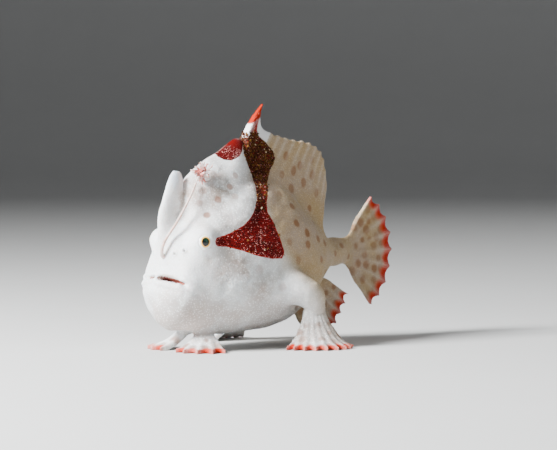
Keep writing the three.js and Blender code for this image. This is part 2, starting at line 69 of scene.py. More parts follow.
# Body outline: distance behind the chin, back, belly, half width, height of the widest point
OUTLINE = np.array(
    [
        (0.0, 8.7, 8.7, 0.0, 8.7),
        (0.4, 10.9, 6.4, 2.3, 8.6),
        (1.2, 13.0, 4.9, 3.7, 8.7),
        (2.5, 15.2, 3.5, 4.7, 9.1),
        (4.0, 16.8, 2.8, 5.1, 9.5),
        (6.0, 18.4, 2.4, 5.6, 9.8),
        (9.0, 20.6, 2.1, 6.3, 10.1),
        (12.5, 22.5, 2.0, 6.8, 10.4),
        (16.0, 23.0, 2.2, 6.8, 10.8),
        (20.0, 21.7, 2.9, 6.4, 11.2),
        (24.0, 18.8, 4.8, 5.2, 11.7),
        (27.5, 15.4, 8.2, 3.5, 12.0),
        (30.0, 14.1, 10.0, 2.3, 12.0),
        (34.0, 13.9, 10.3, 1.2, 12.0),
    ]
)
BACK = 1
BELLY = 2
HALF_WIDTH = 3
WAIST = 4
ROUNDNESS_LOW = 2.25
ROUNDNESS_HIGH = 1.85

# Swellings and hollows: x, s, z, radius, push in x, push back, push up
SWELLINGS = [
    (5.0, 4.9, 14.2, 2.1, 1.0, -0.3, 0.1),
    (3.2, 3.0, 13.4, 1.9, -0.25, 0.2, -0.1),
    (6.2, 9.5, 8.6, 4.0, 0.55, 0.0, -0.1),
    (1.6, 0.9, 7.4, 2.4, 0.1, 0.3, 0.0),
    (0.0, 3.0, 4.0, 2.2, 0.0, 0.0, -0.45),
    (1.8, 0.9, 11.0, 2.2, 0.05, 1.0, 0.0),
    (5.3, 15.5, 6.3, 2.6, -0.25, 0.0, 0.1),
    (4.4, 3.6, 8.6, 1.3, 0.3, -0.1, -0.1),
    (0.0, 5.0, 3.0, 1.1, 0.0, 0.0, 0.45),
]

# Low pad that spreads from the third spine over the upper head, an ellipse seen from the side
PAD_CENTRE = (9.0, 21.0)
PAD_SIZE = (6.7, 5.0)
PAD_CLIMB = 0.76
PAD_RISE = 0.52

EYE_PLACE = (4.75, 4.88, 14.2)
EYE_AXIS = np.array([0.88, -0.45, 0.1]) / np.linalg.norm([0.88, -0.45, 0.1])
EYE_RADIUS = 1.22
EYE_SHOWN = 0.84

# The mouth's line falls from its top, 1 mm before the chin, to its corners
MOUTH_TOP = 10.9
MOUTH_SLOPE = (MOUTH_TOP - 8.85) / 3.9
MOUTH_HALF = 4.75


def smooth_step(value, low, high):
    """0 below low, 1 above high and a soft rise between them."""
    share = np.clip((value - low) / (high - low), 0.0, 1.0)
    return share * share * (3.0 - 2.0 * share)


def bell(value, width):
    """1 at zero, falling away softly over the width."""
    return np.exp(-((value / width) ** 2))


def blend(start, end, share):
    """The value a share of the way from start to end."""
    return start + (end - start) * share


def outline(column, s):
    """One column of the outline at every station, smooth and without overshoot."""
    x = np.sqrt(OUTLINE[:, 0])
    y = OUTLINE[:, column]
    slope = np.diff(y) / np.diff(x)
    before = slope[:-1]
    after = slope[1:]
    both = before * after
    total = np.where(both > 0, before + after, 1.0)
    inner = np.where(both > 0, 2 * both / total, 0.0)
    tangent = np.concatenate([slope[:1], inner, slope[-1:]])
    q = np.sqrt(np.clip(s, 0.0, BODY_LENGTH))
    i = np.clip(np.searchsorted(x, q, side="right") - 1, 0, len(x) - 2)
    h = x[i + 1] - x[i]
    t = (q - x[i]) / h
    rise = (3 - 2 * t) * t * t
    start = t * (1 - t) ** 2 * tangent[i] * h
    end = t * t * (t - 1) * tangent[i + 1] * h
    return y[i] + (y[i + 1] - y[i]) * rise + start + end


def pad_level(s, z):
    """0 in the middle of the pad, 1 on its edge and more outside."""
    u = s - PAD_CENTRE[0]
    v = z - PAD_CENTRE[1]
    along = u * math.cos(PAD_CLIMB) + v * math.sin(PAD_CLIMB)
    across = v * math.cos(PAD_CLIMB) - u * math.sin(PAD_CLIMB)
    return np.hypot(along / PAD_SIZE[0], across / PAD_SIZE[1])


def swell(x, s, z):
    """Moves points of the plain body to where the pad and the swellings put the skin."""
    inside = 1 - smooth_step(pad_level(s, z), 0.87, 1.04)
    lift = PAD_RISE * inside * np.minimum(np.abs(x) / 2, 1)
    moved = np.stack([x + np.sign(x) * lift * 0.8, s, z + lift * 0.4], -1)
    for side in (1, -1):
        for cx, cs, cz, radius, push_x, push_s, push_z in SWELLINGS:
            away = ((x - side * cx) ** 2 + (s - cs) ** 2 + (z - cz) ** 2) / radius**2
            share = np.exp(-away) * (0.5 if cx == 0 else 1.0)
            moved[..., 0] += side * push_x * share
            moved[..., 1] += push_s * share
            moved[..., 2] += push_z * share
    return moved


def signed_power(value, exponent):
    """A power that keeps the sign."""
    return np.sign(value) * np.abs(value) ** exponent


def body_surface(s, angle):
    """Points of the body's skin at stations s and angles round it, 0 on the left flank."""
    rise = np.sin(angle)
    waist = outline(WAIST, s)
    reach = np.where(rise > 0, outline(BACK, s) - waist, waist - outline(BELLY, s))
    power = np.where(rise > 0, 2 / ROUNDNESS_HIGH, 2 / ROUNDNESS_LOW)
    x = outline(HALF_WIDTH, s) * signed_power(np.cos(angle), power)
    z = waist + reach * signed_power(rise, power)
    return swell(x, s, z)


def mouth_height(s):
    """Height of the mouth's line at a station."""
    return MOUTH_TOP - MOUTH_SLOPE * (s + 1)


def flank(s, z):
    """Half the plain body's width at a height."""
    waist = outline(WAIST, s)
    high = z > waist
    reach = np.where(high, outline(BACK, s) - waist, waist - outline(BELLY, s))
    roundness = np.where(high, ROUNDNESS_HIGH, ROUNDNESS_LOW)
    level = np.minimum(np.abs(z - waist) / np.maximum(reach, 1e-6), 1.0)
    return outline(HALF_WIDTH, s) * (1 - level**roundness) ** (1 / roundness)


def snout_at(x, z):
    """Station where the snout's surface has half width x at height z."""
    near = np.zeros_like(x)
    far = np.full_like(x, 12.0)
    for _ in range(30):
        middle = (near + far) / 2
        inside = flank(middle, z) < np.abs(x)
        near = np.where(inside, middle, near)
        far = np.where(inside, far, middle)
    return far


# Grids and meshes in plain arrays


def loft_faces(rows, columns):
    """Faces of a closed loft of rings, with a fan from the middle point of each end."""
    faces = []
    for r in range(rows - 1):
        for c in range(columns):
            d = (c + 1) % columns
            a = r * columns
            b = a + columns
            faces.append((a + c, a + d, b + d, b + c))
    first = rows * columns
    last = first + 1
    for c in range(columns):
        d = (c + 1) % columns
        faces.append((first, d, c))
        faces.append((last, (rows - 1) * columns + c, (rows - 1) * columns + d))
    return faces


def closed_loft(rings):
    """Points and faces of a closed loft through rings of points."""
    points = rings.reshape(-1, 3)
    ends = np.stack([rings[0].mean(0), rings[-1].mean(0)])
    return np.concatenate([points, ends]), loft_faces(len(rings), rings.shape[1])


def curve_through(points, count):
    """Points on a smooth curve through a few given rows of numbers."""
    rows = np.asarray(points, float)
    padded = np.concatenate([2 * rows[:1] - rows[1:2], rows, 2 * rows[-1:] - rows[-2:-1]])
    place = np.linspace(0, len(rows) - 1, count)
    i = np.minimum(place.astype(int), len(rows) - 2)
    t = (place - i)[:, None]
    p0, p1, p2, p3 = (padded[i + k] for k in range(4))
    curve = 2 * p1 + (p2 - p0) * t
    curve += (2 * p0 - 5 * p1 + 4 * p2 - p3) * t * t
    curve += (3 * p1 - p0 - 3 * p2 + p3) * t**3
    return curve / 2


def tube_rings(centres, radii, side, count, corners):
    """Rings of a tube: radii across `side`, and across the path and `side`."""
    path = curve_through(centres, count)
    size = curve_through(radii, count)
    along = np.gradient(path, axis=0)
    along /= np.linalg.norm(along, axis=1, keepdims=True)
    second = np.cross(along, side)
    second /= np.linalg.norm(second, axis=1, keepdims=True)
    first = np.cross(second, along)
    angle = np.linspace(0, 2 * math.pi, corners, endpoint=False)
    ring = path[:, None] + first[:, None] * (size[:, None, :1] * np.cos(angle)[None, :, None])
    ring = ring + second[:, None] * (size[:, None, 1:2] * np.sin(angle)[None, :, None])
    return ring


class Fin:
    """A fin's middle surface with rays that run out from its root."""

    def __init__(self, name, rays, rows, ray, thick, web, scallop, ridge=0.2, notch=None):
        self.name = name
        self.rays = rays
        per_gap = 8
        out = np.linspace(0, 1, rows)
        place = np.linspace(0, rays - 1, (rays - 1) * per_gap + 1)
        part = place - np.floor(place)
        depth = np.where(place < 1, scallop if notch is None else notch, scallop)
        cut = 1 - depth * np.sin(math.pi * part)
        low = np.floor(place).astype(int)
        high = np.minimum(low + 1, rays - 1)
        v = cut[:, None] * out[None, :]
        share = part[:, None, None]
        self.middle = blend(ray(low[:, None], v), ray(high[:, None], v), share)
        nearest = np.minimum(part, 1 - part)
        swelling = bell(nearest, ridge)[:, None]
        half_web = blend(web[0], web[1], out**0.6)[None, :] / 2
        half_ray = blend(thick[0], thick[1], out**0.6)[None, :] / 2
        self.half = half_web + (half_ray - half_web) * swelling
        self.place = np.broadcast_to(place[:, None], self.half.shape)
        self.out = np.broadcast_to(out[None, :], self.half.shape)

    def shell(self):
        """Points and faces of the closed slab round the middle surface."""
        columns, rows = self.half.shape
        across = np.gradient(self.middle, axis=0)
        outwards = np.gradient(self.middle, axis=1)
        normal = np.cross(across, outwards)
        normal /= np.maximum(np.linalg.norm(normal, axis=2, keepdims=True), 1e-9)
        near = self.middle + normal * self.half[..., None]
        far = self.middle - normal * self.half[..., None]
        count = columns * rows
        faces = []
        for c in range(columns - 1):
            for r in range(rows - 1):
                a = c * rows + r
                b = a + rows
                faces.append((a, b, b + 1, a + 1))
                faces.append((count + a, count + a + 1, count + b + 1, count + b))
        rim = list(range(rows))
        rim += [c * rows + rows - 1 for c in range(1, columns)]
        rim += [(columns - 1) * rows + r for r in range(rows - 2, -1, -1)]
        rim += [c * rows for c in range(columns - 2, 0, -1)]
        for i, a in enumerate(rim):
            b = rim[(i + 1) % len(rim)]
            faces.append((a, b, count + b, count + a))
        return np.concatenate([near.reshape(-1, 3), far.reshape(-1, 3)]), faces


DORSAL_LENGTHS = np.array([10.3, 7.4, 7.3, 7.4, 7.7, 8.2, 8.7, 9.1, 9.3, 9.2, 8.6, 7.4])


def in_middle_plane(s, z):
    """Points in the fish's plane of symmetry."""
    return np.stack([0 * s, s, z], -1)


def dorsal_ray(i, v):
    """Points along the rays of the fin on the back."""
    share = i / 11
    s = blend(14.5, 28.0, share)
    lean = np.where(i == 0, 3.0, blend(30.0, 12.0, share) + 10 * np.sin(math.pi * share))
    lean = np.radians(lean)
    reach = DORSAL_LENGTHS[i] * v
    bend = np.where(i == 0, 0.0025 * reach**3.1, 0.008 * reach**2)
    z = outline(BACK, s) - 1.1 + reach * np.cos(lean)
    return in_middle_plane(s + reach * np.sin(lean) + bend, z)


def anal_ray(i, v):
    """Points along the rays of the fin under the tail."""
    share = i / 6
    s = blend(23.0, 28.0, share)
    lean = np.radians(blend(38.0, 58.0, share))
    reach = (5.2 + 2.0 * np.sin(math.pi * (0.2 + 0.6 * share))) * v
    bend = 0.02 * reach * reach
    z = outline(BELLY, s) + 0.9 - reach * np.cos(lean)
    return in_middle_plane(s + reach * np.sin(lean) + bend, z)


def caudal_ray(i, v):
    """Points along the rays of the tail fin, which fan out from the end of its stalk."""
    share = 2 * i / 8 - 1
    turn = np.radians(46.0 * share)
    reach = 10.2 * (1 - 0.2 * share * share) * v
    across = reach * np.sin(turn) * blend(0.55, 1.0, np.minimum(v * 2.2, 1))
    return in_middle_plane(BODY_LENGTH - 0.6 + reach * np.cos(turn), 12.0 + share * 1.7 + across)


def foot_ray(wrist, width, start, stop, rays, length, sole=0.2):
    """A ray function for a hand or foot that spreads from its wrist and ends flat on the floor."""
    straight = math.radians((start + stop) / 2)

    def ray(i, v):
        share = i / (rays - 1)
        aside = width * (share - 0.5)
        turn = np.radians(blend(start, stop, share))
        reach = length * (1 - 0.18 * (2 * share - 1) ** 2) * v
        drop = (1 - np.minimum(v, 1)) ** 2.2
        return np.stack(
            [
                wrist[0] + aside * math.cos(straight) + reach * np.sin(turn),
                wrist[1] + aside * math.sin(straight) - reach * np.cos(turn),
                sole + (wrist[2] - sole) * drop,
            ],
            -1,
        )

    return ray


def mirrored(points):
    """The same points on the fish's other side."""
    return points * np.array([-1.0, 1.0, 1.0])


def make_fins():
    """All the fins, the paired ones on both sides."""
    hand = foot_ray((7.5, 21.0, 5.2), 2.4, 15, 125, 9, 5.4)
    foot = foot_ray((1.9, 7.6, 3.0), 1.8, 5, 72, 5, 5.6)
    # Name, rays, rows, ray function, thickness of rays and of web at root and rim, depth of the scallops
    fins = [
        Fin("dorsal", 12, 64, dorsal_ray, (4.4, 0.58), (4.37, 0.53), 0.03, 0.36, 0.14),
        Fin("anal", 7, 44, anal_ray, (1.5, 0.6), (1.3, 0.42), 0.08),
        Fin("caudal", 9, 60, caudal_ray, (1.4, 0.6), (1.2, 0.42), 0.06),
        Fin("hand", 9, 40, hand, (1.5, 0.72), (1.2, 0.5), 0.18),
        Fin("foot", 5, 40, foot, (1.7, 0.72), (1.4, 0.5), 0.19),
    ]
    for name in ("hand", "foot"):
        one = next(fin for fin in fins if fin.name == name)
        other = copy.copy(one)
        other.middle = mirrored(one.middle)[::-1]
        other.half = one.half[::-1]
        other.place = one.place[::-1]
        other.out = one.out[::-1]
        fins.append(other)
    return fins


# Head spines and arms
SECOND_SPINE_CENTRES = [
    (0, 3.3, 12.8),
    (0, 2.75, 14.9),
    (0, 2.75, 17.2),
    (0, 3.25, 19.0),
    (0, 3.7, 20.8),
    (0, 4.1, 22.4),
    (0, 4.2, 23.2),
]
SECOND_SPINE_RADII = [
    (1.2, 1.2),
    (1.0, 1.55),
    (0.75, 1.48),
    (0.65, 1.42),
    (0.6, 1.3),
    (0.47, 1.02),
    (0.25, 0.58),
]
SPINE_WEB_CENTRES = [(0, 4.4, 13.4), (0, 4.6, 16.0), (0, 4.85, 18.4), (0, 5.05, 20.2)]
SPINE_WEB_RADII = [(0.6, 1.3), (0.5, 1.1), (0.4, 0.85), (0.3, 0.45)]
HUMP = [
    (5.0, 18.4, 0.5),
    (5.15, 20.4, 1.2),
    (5.6, 22.2, 2.1),
    (7.0, 23.6, 3.0),
    (9.0, 24.7, 3.7),
    (11.0, 25.7, 3.9),
    (12.8, 26.9, 3.6),
    (14.1, 27.55, 2.9),
    (14.9, 27.4, 1.9),
]
HUMP_FOOT = 15.5
ARM_CENTRES = [
    (4.6, 16.4, 8.1),
    (6.0, 17.9, 8.1),
    (7.2, 19.5, 7.5),
    (7.8, 20.7, 6.4),
    (7.8, 21.3, 5.2),
    (7.8, 21.5, 4.7),
]
ARM_RADII = [
    (2.6, 2.3),
    (2.4, 2.1),
    (2.05, 1.8),
    (1.7, 1.45),
    (1.3, 1.1),
    (1.1, 0.9),
]


def hump_rings():
    """Rings across the third spine's hump, from front to rear."""
    rows = curve_through(HUMP, 48)
    v = np.sin(np.linspace(0, math.pi / 2, 28))
    rings = []
    for s, crest, foot in rows:
        half = foot * (1 - v**2.4) ** (1 / 1.5) + 0.03
        z = blend(HUMP_FOOT, crest, v)
        left = np.stack([half, np.full_like(v, s), z], -1)
        right = mirrored(left)[::-1]
        rings.append(np.concatenate([left, right])[::-1])
    return np.array(rings)


def body_rings(rings=200, corners=180):
    """Rings of the whole body."""
    q = np.linspace(0.02, 1, rings)
    s = BODY_LENGTH * q * q
    angle = -np.linspace(0, 2 * math.pi, corners, endpoint=False)
    return body_surface(*np.meshgrid(s, angle, indexing="ij"))


def mouth_gape(x, opening):
    """Half the mouth's height: the lips nearly meet in the middle, and the left side gapes wider."""
    end = np.sqrt(np.maximum(1 - (x / MOUTH_HALF) ** 2, 0.0))
    middle = 1 - 0.75 * bell(x + 0.35, 0.55)
    right = 1 - 0.45 * smooth_step(-x, 0.0, 1.5)
    return opening * end**0.45 * middle * right


def mouth_droop(x):
    """How far the mouth's line hangs below its plane towards the corners."""
    return -0.12 - 0.01 * x * x


def mouth_front(x):
    """Station of the snout's skin where the mouth's line crosses it."""
    s = snout_at(x, mouth_height(np.full_like(x, 1.5)))
    for _ in range(4):
        s = snout_at(x, mouth_height(s) + mouth_droop(x)) + 0.75 * bell(x, 3.2)
    return s


def mouth_rings(opening):
    """Rings from side to side of the space inside the open mouth."""
    x = np.linspace(-MOUTH_HALF, MOUTH_HALF, 61)
    front = mouth_front(x)
    end = np.sqrt(np.maximum(1 - (x / MOUTH_HALF) ** 2, 0.004))
    half = mouth_gape(x, opening) + 0.015
    turn = np.linspace(0, 2 * math.pi, 28, endpoint=False)
    rings = []
    for k in range(len(x)):
        depth = 0.5 + 2.2 * end[k]
        along = front[k] - 1.1 + depth / 2 + (depth / 2 + 0.35) * np.cos(turn)
        gape = half[k] * (0.62 - 0.38 * np.cos(turn)) * signed_power(np.sin(turn), 0.5)
        z = mouth_height(along) + mouth_droop(x[k]) + gape
        rings.append(np.stack([np.full_like(turn, x[k]), along, z], -1))
    return np.array(rings)


def mesh_object(name, points, faces):
    """A new mesh object in the scene."""
    mesh = bpy.data.meshes.new(name)
    mesh.from_pydata([tuple(p) for p in points], [], [tuple(f) for f in faces])
    mesh.update()
    piece = bpy.data.objects.new(name, mesh)
    bpy.context.scene.collection.objects.link(piece)
    return piece


def joined_shells(shells):
    """One array of points and one list of faces from several."""
    points = []
    faces = []
    count = 0
    for shell_points, shell_faces in shells:
        points.append(shell_points)
        faces += [tuple(i + count for i in face) for face in shell_faces]
        count += len(shell_points)
    return np.concatenate(points), faces


def applied(piece, modifier):
    """Puts a modifier's result into the piece's mesh."""
    bpy.context.view_layer.objects.active = piece
    bpy.ops.object.modifier_apply(modifier=modifier.name)


def mesh_arrays(mesh):
    """A mesh's points and its edges as arrays."""
    points = np.empty(len(mesh.vertices) * 3)
    mesh.vertices.foreach_get("co", points)
    edges = np.empty(len(mesh.edges) * 2, dtype=np.int64)
    mesh.edges.foreach_get("vertices", edges)
    return points.reshape(-1, 3), edges.reshape(-1, 2)


def relaxed(points, edges, weight, rounds):
    """Points moved towards the middle of their neighbours, each by its own weight."""
    count = len(points)
    ends = np.concatenate([edges[:, 0], edges[:, 1]])
    others = np.concatenate([edges[:, 1], edges[:, 0]])
    degree = np.maximum(np.bincount(ends, minlength=count), 1)
    result = points.copy()
    for _ in range(rounds):
        around = np.empty_like(result)
        for axis in range(3):
            around[:, axis] = np.bincount(ends, weights=result[others, axis], minlength=count)
        around /= degree[:, None]
        result += (around - result) * weight[:, None]
    return result


def nearest_of(points, targets):
    """Index of the nearest target for each point, and its distance."""
    tree = kdtree.KDTree(len(targets))
    for i, target in enumerate(targets):
        tree.insert(target, i)
    tree.balance()
    index = np.empty(len(points), dtype=np.int64)
    away = np.empty(len(points))
    for k, point in enumerate(points):
        _, index[k], away[k] = tree.find(point)
    return index, away


def to_world(points):
    """Straight-fish millimetres to metres in the part's frame, with the tail's curve."""
    past = np.maximum(points[:, 1] - BEND_START, 0.0)
    x = points[:, 0] - BEND * past * past
    return np.stack([x, points[:, 1] - MIDDLE, points[:, 2]], -1) * MM


def outside_polygon(s, z, corners):
    """Distance to a closed outline seen from the side: less than 0 inside it."""
    corners = np.asarray(corners, float)
    here = np.stack([s, z], -1)
    best = np.full(s.shape, 1e9)
    inside = np.zeros(s.shape, bool)
    for a, b in zip(corners, np.roll(corners, -1, axis=0)):
        edge = b - a
        share = np.clip(((here - a) @ edge) / (edge @ edge), 0, 1)
        best = np.minimum(best, np.linalg.norm(here - a - share[..., None] * edge, axis=-1))
        crosses = (a[1] > z) != (b[1] > z)
        with np.errstate(divide="ignore", invalid="ignore"):
            where = a[0] + (z - a[1]) / (b[1] - a[1]) * edge[0]
        inside ^= crosses & (s < where)
    return np.where(inside, -best, best)


# Edge of the red saddle, seen from the side: [behind the chin, height]
SADDLE = [
    (5.85, 14.35),
    (6.25, 14.75),
    (7.5, 15.0),
    (8.9, 15.4),
    (10.7, 16.3),
    (12.5, 17.85),
    (13.7, 19.7),
    (14.75, 21.6),
    (15.2, 22.7),
    (14.6, 24.2),
    (14.1, 25.3),
    (14.35, 26.3),
    (14.9, 27.1),
    (15.4, 27.9),
    (16.0, 28.9),
    (16.7, 30.0),
    (17.5, 31.0),
    (17.75, 30.9),
    (17.35, 29.6),
    (17.2, 28.6),
    (17.5, 27.8),
    (18.6, 27.0),
    (19.4, 26.2),
    (19.8, 25.6),
    (20.0, 24.9),
    (19.6, 24.3),
    (18.9, 23.5),
    (18.2, 22.3),
    (16.5, 20.9),
    (15.3, 19.1),
    (15.05, 17.9),
    (15.6, 16.7),
    (15.95, 15.5),
    (16.4, 14.0),
    (16.75, 12.6),
    (16.3, 11.85),
    (14.6, 11.85),
    (12.1, 12.3),
    (10.0, 13.0),
    (8.0, 13.55),
    (6.3, 13.7),
    (5.9, 13.95),
]
# Edge of the scarlet tip of the third spine
TIP = [
    (10.35, 25.15),
    (10.7, 26.3),
    (12.5, 27.5),
    (14.4, 28.2),
    (15.2, 27.4),
    (14.55, 26.6),
    (14.0, 25.9),
    (13.1, 25.15),
    (11.8, 24.6),
    (10.85, 24.7),
]
# Spots on each flank: how far behind the chin, height, radius, strength
SPOTS = [
    (6.58, 17.61, 0.52, 0.95),
    (8.42, 19.6, 0.52, 0.85),
    (11.64, 22.68, 0.46, 0.6),
    (10.41, 21.19, 0.46, 0.65),
    (10.69, 19.95, 0.5, 0.4),
    (6.8, 20.74, 0.6, 0.5),
    (6.17, 19.17, 0.5, 0.5),
    (8.6, 22.9, 0.5, 0.35),
    (22.01, 25.16, 0.46, 0.75),
    (23.09, 23.15, 0.5, 0.75),
    (24.42, 23.94, 0.44, 0.65),
    (24.74, 21.53, 0.5, 0.75),
    (22.22, 20.76, 0.55, 0.65),
    (20.12, 18.58, 0.55, 0.8),
    (25.46, 18.16, 0.5, 0.8),
    (19.78, 16.38, 0.58, 0.9),
    (21.75, 15.01, 0.62, 1.0),
    (21.55, 13.57, 0.6, 0.85),
    (24.35, 14.12, 0.52, 0.8),
    (26.42, 13.5, 0.5, 0.8),
    (18.6, 20.3, 0.45, 0.4),
    (20.9, 22.7, 0.42, 0.5),
    (26.6, 22.6, 0.46, 0.6),
    (27.3, 20.2, 0.46, 0.6),
    (26.9, 24.6, 0.4, 0.5),
    (24.9, 16.3, 0.44, 0.5),
    (17.9, 13.9, 0.5, 0.45),
    (12.2, 10.6, 0.7, 0.3),
    (16.0, 8.2, 0.6, 0.3),
    (19.4, 11.6, 0.55, 0.5),
    (24.6, 11.4, 0.5, 0.8),
    (21.6, 8.6, 0.5, 0.5),
    (29.6, 11.9, 0.48, 0.8),
    (31.6, 12.9, 0.46, 0.75),
    (33.2, 11.3, 0.42, 0.7),
    (26.4, 9.6, 0.45, 0.6),
]
# Red-brown smudges of the face and cheek, and smudges on the hump; those nearest the second spine are
# painted shade in the hollow between the spine and the hump
SMUDGES_AND_SHADE = [
    (9.3, 12.0, 1.6, 0.6),
    (7.0, 9.6, 1.3, 0.55),
    (12.5, 8.5, 2.2, 0.7),
    (10.4, 10.2, 0.9, 0.6),
    (5.2, 11.8, 0.8, 0.5),
    (3.6, 5.2, 1.0, 0.5),
    (15.5, 9.6, 1.4, 0.45),
    (5.5, 16.4, 0.8, 0.3),
    (4.9, 19.7, 1.2, 0.75),
    (4.0, 17.8, 1.0, 0.5),
    (5.6, 21.2, 1.1, 0.4),
    (9.4, 21.1, 2.5, 1.0),
    (8.0, 18.6, 1.2, 0.35),
]
# Fold at the corner of the mouth, from one end to the other: x, s, z
MOUTH_FOLD = np.array([(4.35, 1.9, 8.95), (5.2, 4.6, 7.0)])
# Both nostrils and the gill opening: station, angle round the body, radius, height of the rim,
# depth, radius of the painted shade in the middle
OPENINGS = [
    (1.6, 0.95, 0.25, 0.2, 0.3, 0.14),
    (2.6, 0.75, 0.25, 0.2, 0.3, 0.14),
    (20.3, -0.75, 0.6, 0.25, 0.6, 0.3),
]
# How orange the edge of each fin is, and the number of its spots
EDGE_SHARE = {"dorsal": 0.0, "anal": 0.85, "caudal": 0.95, "hand": 0.8, "foot": 0.8}
FIN_SPOTS = {"anal": 9, "caudal": 24, "hand": 11, "foot": 6}


def settings():
    """The sizes and the colours in the sidebar."""
    scene = bpy.context.scene
    return scene.frogfish_sizes, scene.frogfish_colours


class FrogfishSizes(bpy.types.PropertyGroup):
    """Sizes of the fish's skin and small parts"""

    grain: bpy.props.FloatProperty(
        name="Skin grain", description="Size of the skin mesh's faces", default=0.00014, unit="LENGTH"
    )
    mouth_opening: bpy.props.FloatProperty(
        name="Mouth opening", description="Half the open mouth's height", default=0.00066, unit="LENGTH"
    )
    iris_radius: bpy.props.FloatProperty(
        name="Iris radius", description="Radius of the eye's yellow ring", default=0.00068, unit="LENGTH"
    )
    prickle_height: bpy.props.FloatProperty(
        name="Prickle height", description="Height of a forked prickle", default=0.00006, unit="LENGTH"
    )
    prickles: bpy.props.IntProperty(
        name="Prickles", description="Number of prickles in each half of the skin", default=30000
    )
    tooth_height: bpy.props.FloatProperty(
        name="Tooth height", description="Height of the small teeth", default=0.00022, unit="LENGTH"
    )


class FrogfishColours(bpy.types.PropertyGroup):
    """Colours of the fish and the studio"""

    white: bpy.props.FloatVectorProperty(
        name="White", description="Skin of the face", default=(0.84, 0.87, 0.88), subtype="COLOR"
    )
    cream: bpy.props.FloatVectorProperty(
        name="Cream", description="Skin of the trunk", default=(0.41, 0.275, 0.115), subtype="COLOR"
    )
    red: bpy.props.FloatVectorProperty(
        name="Red", description="Saddle", default=(0.035, 0.0005, 0.0004), subtype="COLOR"
    )
    scarlet: bpy.props.FloatVectorProperty(
        name="Scarlet", description="Rim of the saddle", default=(0.38, 0.005, 0.001), subtype="COLOR"
    )
    orange: bpy.props.FloatVectorProperty(
        name="Orange", description="Edges of the fins", default=(0.56, 0.045, 0.001), subtype="COLOR"
    )
    brown: bpy.props.FloatVectorProperty(
        name="Brown", description="Spots on the flanks", default=(0.24, 0.10, 0.035), subtype="COLOR"
    )
    floor: bpy.props.FloatVectorProperty(
        name="Floor", description="Floor and wall", default=(0.62, 0.62, 0.61), subtype="COLOR"
    )


# Materials


class Nodes:
    """Short ways to add and link shader nodes in one material."""

    def __init__(self, name):
        self.material = bpy.data.materials.new(name)
        self.material.use_nodes = True
        self.tree = self.material.node_tree
        self.shader = self.tree.nodes["Principled BSDF"]

    def add(self, kind, **values):
        node = self.tree.nodes.new(kind)
        for key, value in values.items():
            setattr(node, key, value)
        return node

    def put(self, socket, value):
        """Links another node's output to a socket, or sets its number or colour."""
        if isinstance(value, bpy.types.NodeSocket):
            self.tree.links.new(value, socket)
        elif isinstance(value, (int, float)):
            socket.default_value = value
        else:
            plain = tuple(value)
            socket.default_value = plain + (1.0,) if len(plain) < len(socket.default_value) else plain

    def attribute(self, name):
        """A number kept for each point of the mesh."""
        return self.add("ShaderNodeAttribute", attribute_name=name).outputs["Fac"]

    def math(self, operation, first, second=0.0, clamp=False):
        node = self.add("ShaderNodeMath", operation=operation, use_clamp=clamp)
        self.put(node.inputs[0], first)
        self.put(node.inputs[1], second)
        return node.outputs[0]

    def ramp(self, value, low, high):
        """0 at low, 1 at high and a soft change between them; low may be the larger."""
        node = self.add("ShaderNodeMapRange", interpolation_type="SMOOTHSTEP")
        self.put(node.inputs["Value"], value)
        self.put(node.inputs["From Min"], low)
        self.put(node.inputs["From Max"], high)
        return node.outputs["Result"]

    def noise(self, scale, detail, rough, vector):
        node = self.add("ShaderNodeTexNoise")
        self.put(node.inputs["Scale"], scale)
        self.put(node.inputs["Detail"], detail)
        self.put(node.inputs["Roughness"], rough)
        self.put(node.inputs["Vector"], vector)
        return node.outputs["Fac"]

    def cells(self, scale, vector, output="Distance"):
        """Distance to the middle of the nearest cell of a random pattern, or that cell's own colour."""
        node = self.add("ShaderNodeTexVoronoi", feature="F1")
        self.put(node.inputs["Scale"], scale)
        self.put(node.inputs["Vector"], vector)
        return node.outputs[output]

    def place(self):
        """Where each point lies on the object, in metres."""
        return self.add("ShaderNodeTexCoord").outputs["Object"]

    def mix(self, share, first, second):
        """The second colour over the first, by a share."""
        node = self.add("ShaderNodeMix", data_type="RGBA", blend_type="MIX")
        self.put(node.inputs[0], share)
        self.put(node.inputs[6], first)
        self.put(node.inputs[7], second)
        return node.outputs[2]

    def bump(self, height, distance, strength, before=None):
        node = self.add("ShaderNodeBump")
        self.put(node.inputs["Height"], height)
        self.put(node.inputs["Distance"], distance)
        self.put(node.inputs["Strength"], strength)
        if before is not None:
            self.put(node.inputs["Normal"], before)
        return node.outputs["Normal"]

    def finish(self, **sockets):
        """Puts the last values into the shader and hands back the material."""
        names = {
            "colour": "Base Color",
            "roughness": "Roughness",
            "normal": "Normal",
            "specular": "Specular IOR Level",
            "subsurface": "Subsurface Weight",
            "radius": "Subsurface Radius",
            "scale": "Subsurface Scale",
        }
        for key, value in sockets.items():
            self.put(self.shader.inputs[names[key]], value)
        return self.material


# Finer colours of the skin, and of the light and shade painted on it, beside those in the sidebar
FACE_PAINTED_LIGHT = (0.90, 0.92, 0.93)
MOTTLING = (0.52, 0.37, 0.28)
GREY_SAND_AND_SHADE = (0.29, 0.27, 0.24)
PINK_SAND_AND_SHADE = (0.39, 0.25, 0.17)
WHITE_DOTS = (0.93, 0.94, 0.93)
TAN_DOTS = (0.66, 0.52, 0.36)
DARK_GROUND = (0.36, 0.29, 0.25)
GRIT = (0.45, 0.36, 0.30)
PRICKLE_TIP = (0.90, 0.90, 0.88)
FACE_SPOT = (0.27, 0.125, 0.075)
DEEP_ORANGE = (0.42, 0.012, 0.003)
PALE_RAY = (0.82, 0.76, 0.68)
LIGHTER_RED = (0.085, 0.0008, 0.0006)
RED_GRAIN = (0.24, 0.003, 0.002)
SILT_STAIN_AND_SHADE = (0.06, 0.014, 0.004)
TIP_CREST = (0.105, 0.0004, 0.0001)
TIP_FRONT = (0.055, 0.0003, 0.0002)
RAY_STRIPE = (0.34, 0.02, 0.012)
RAY_BORDER = (0.84, 0.84, 0.83)
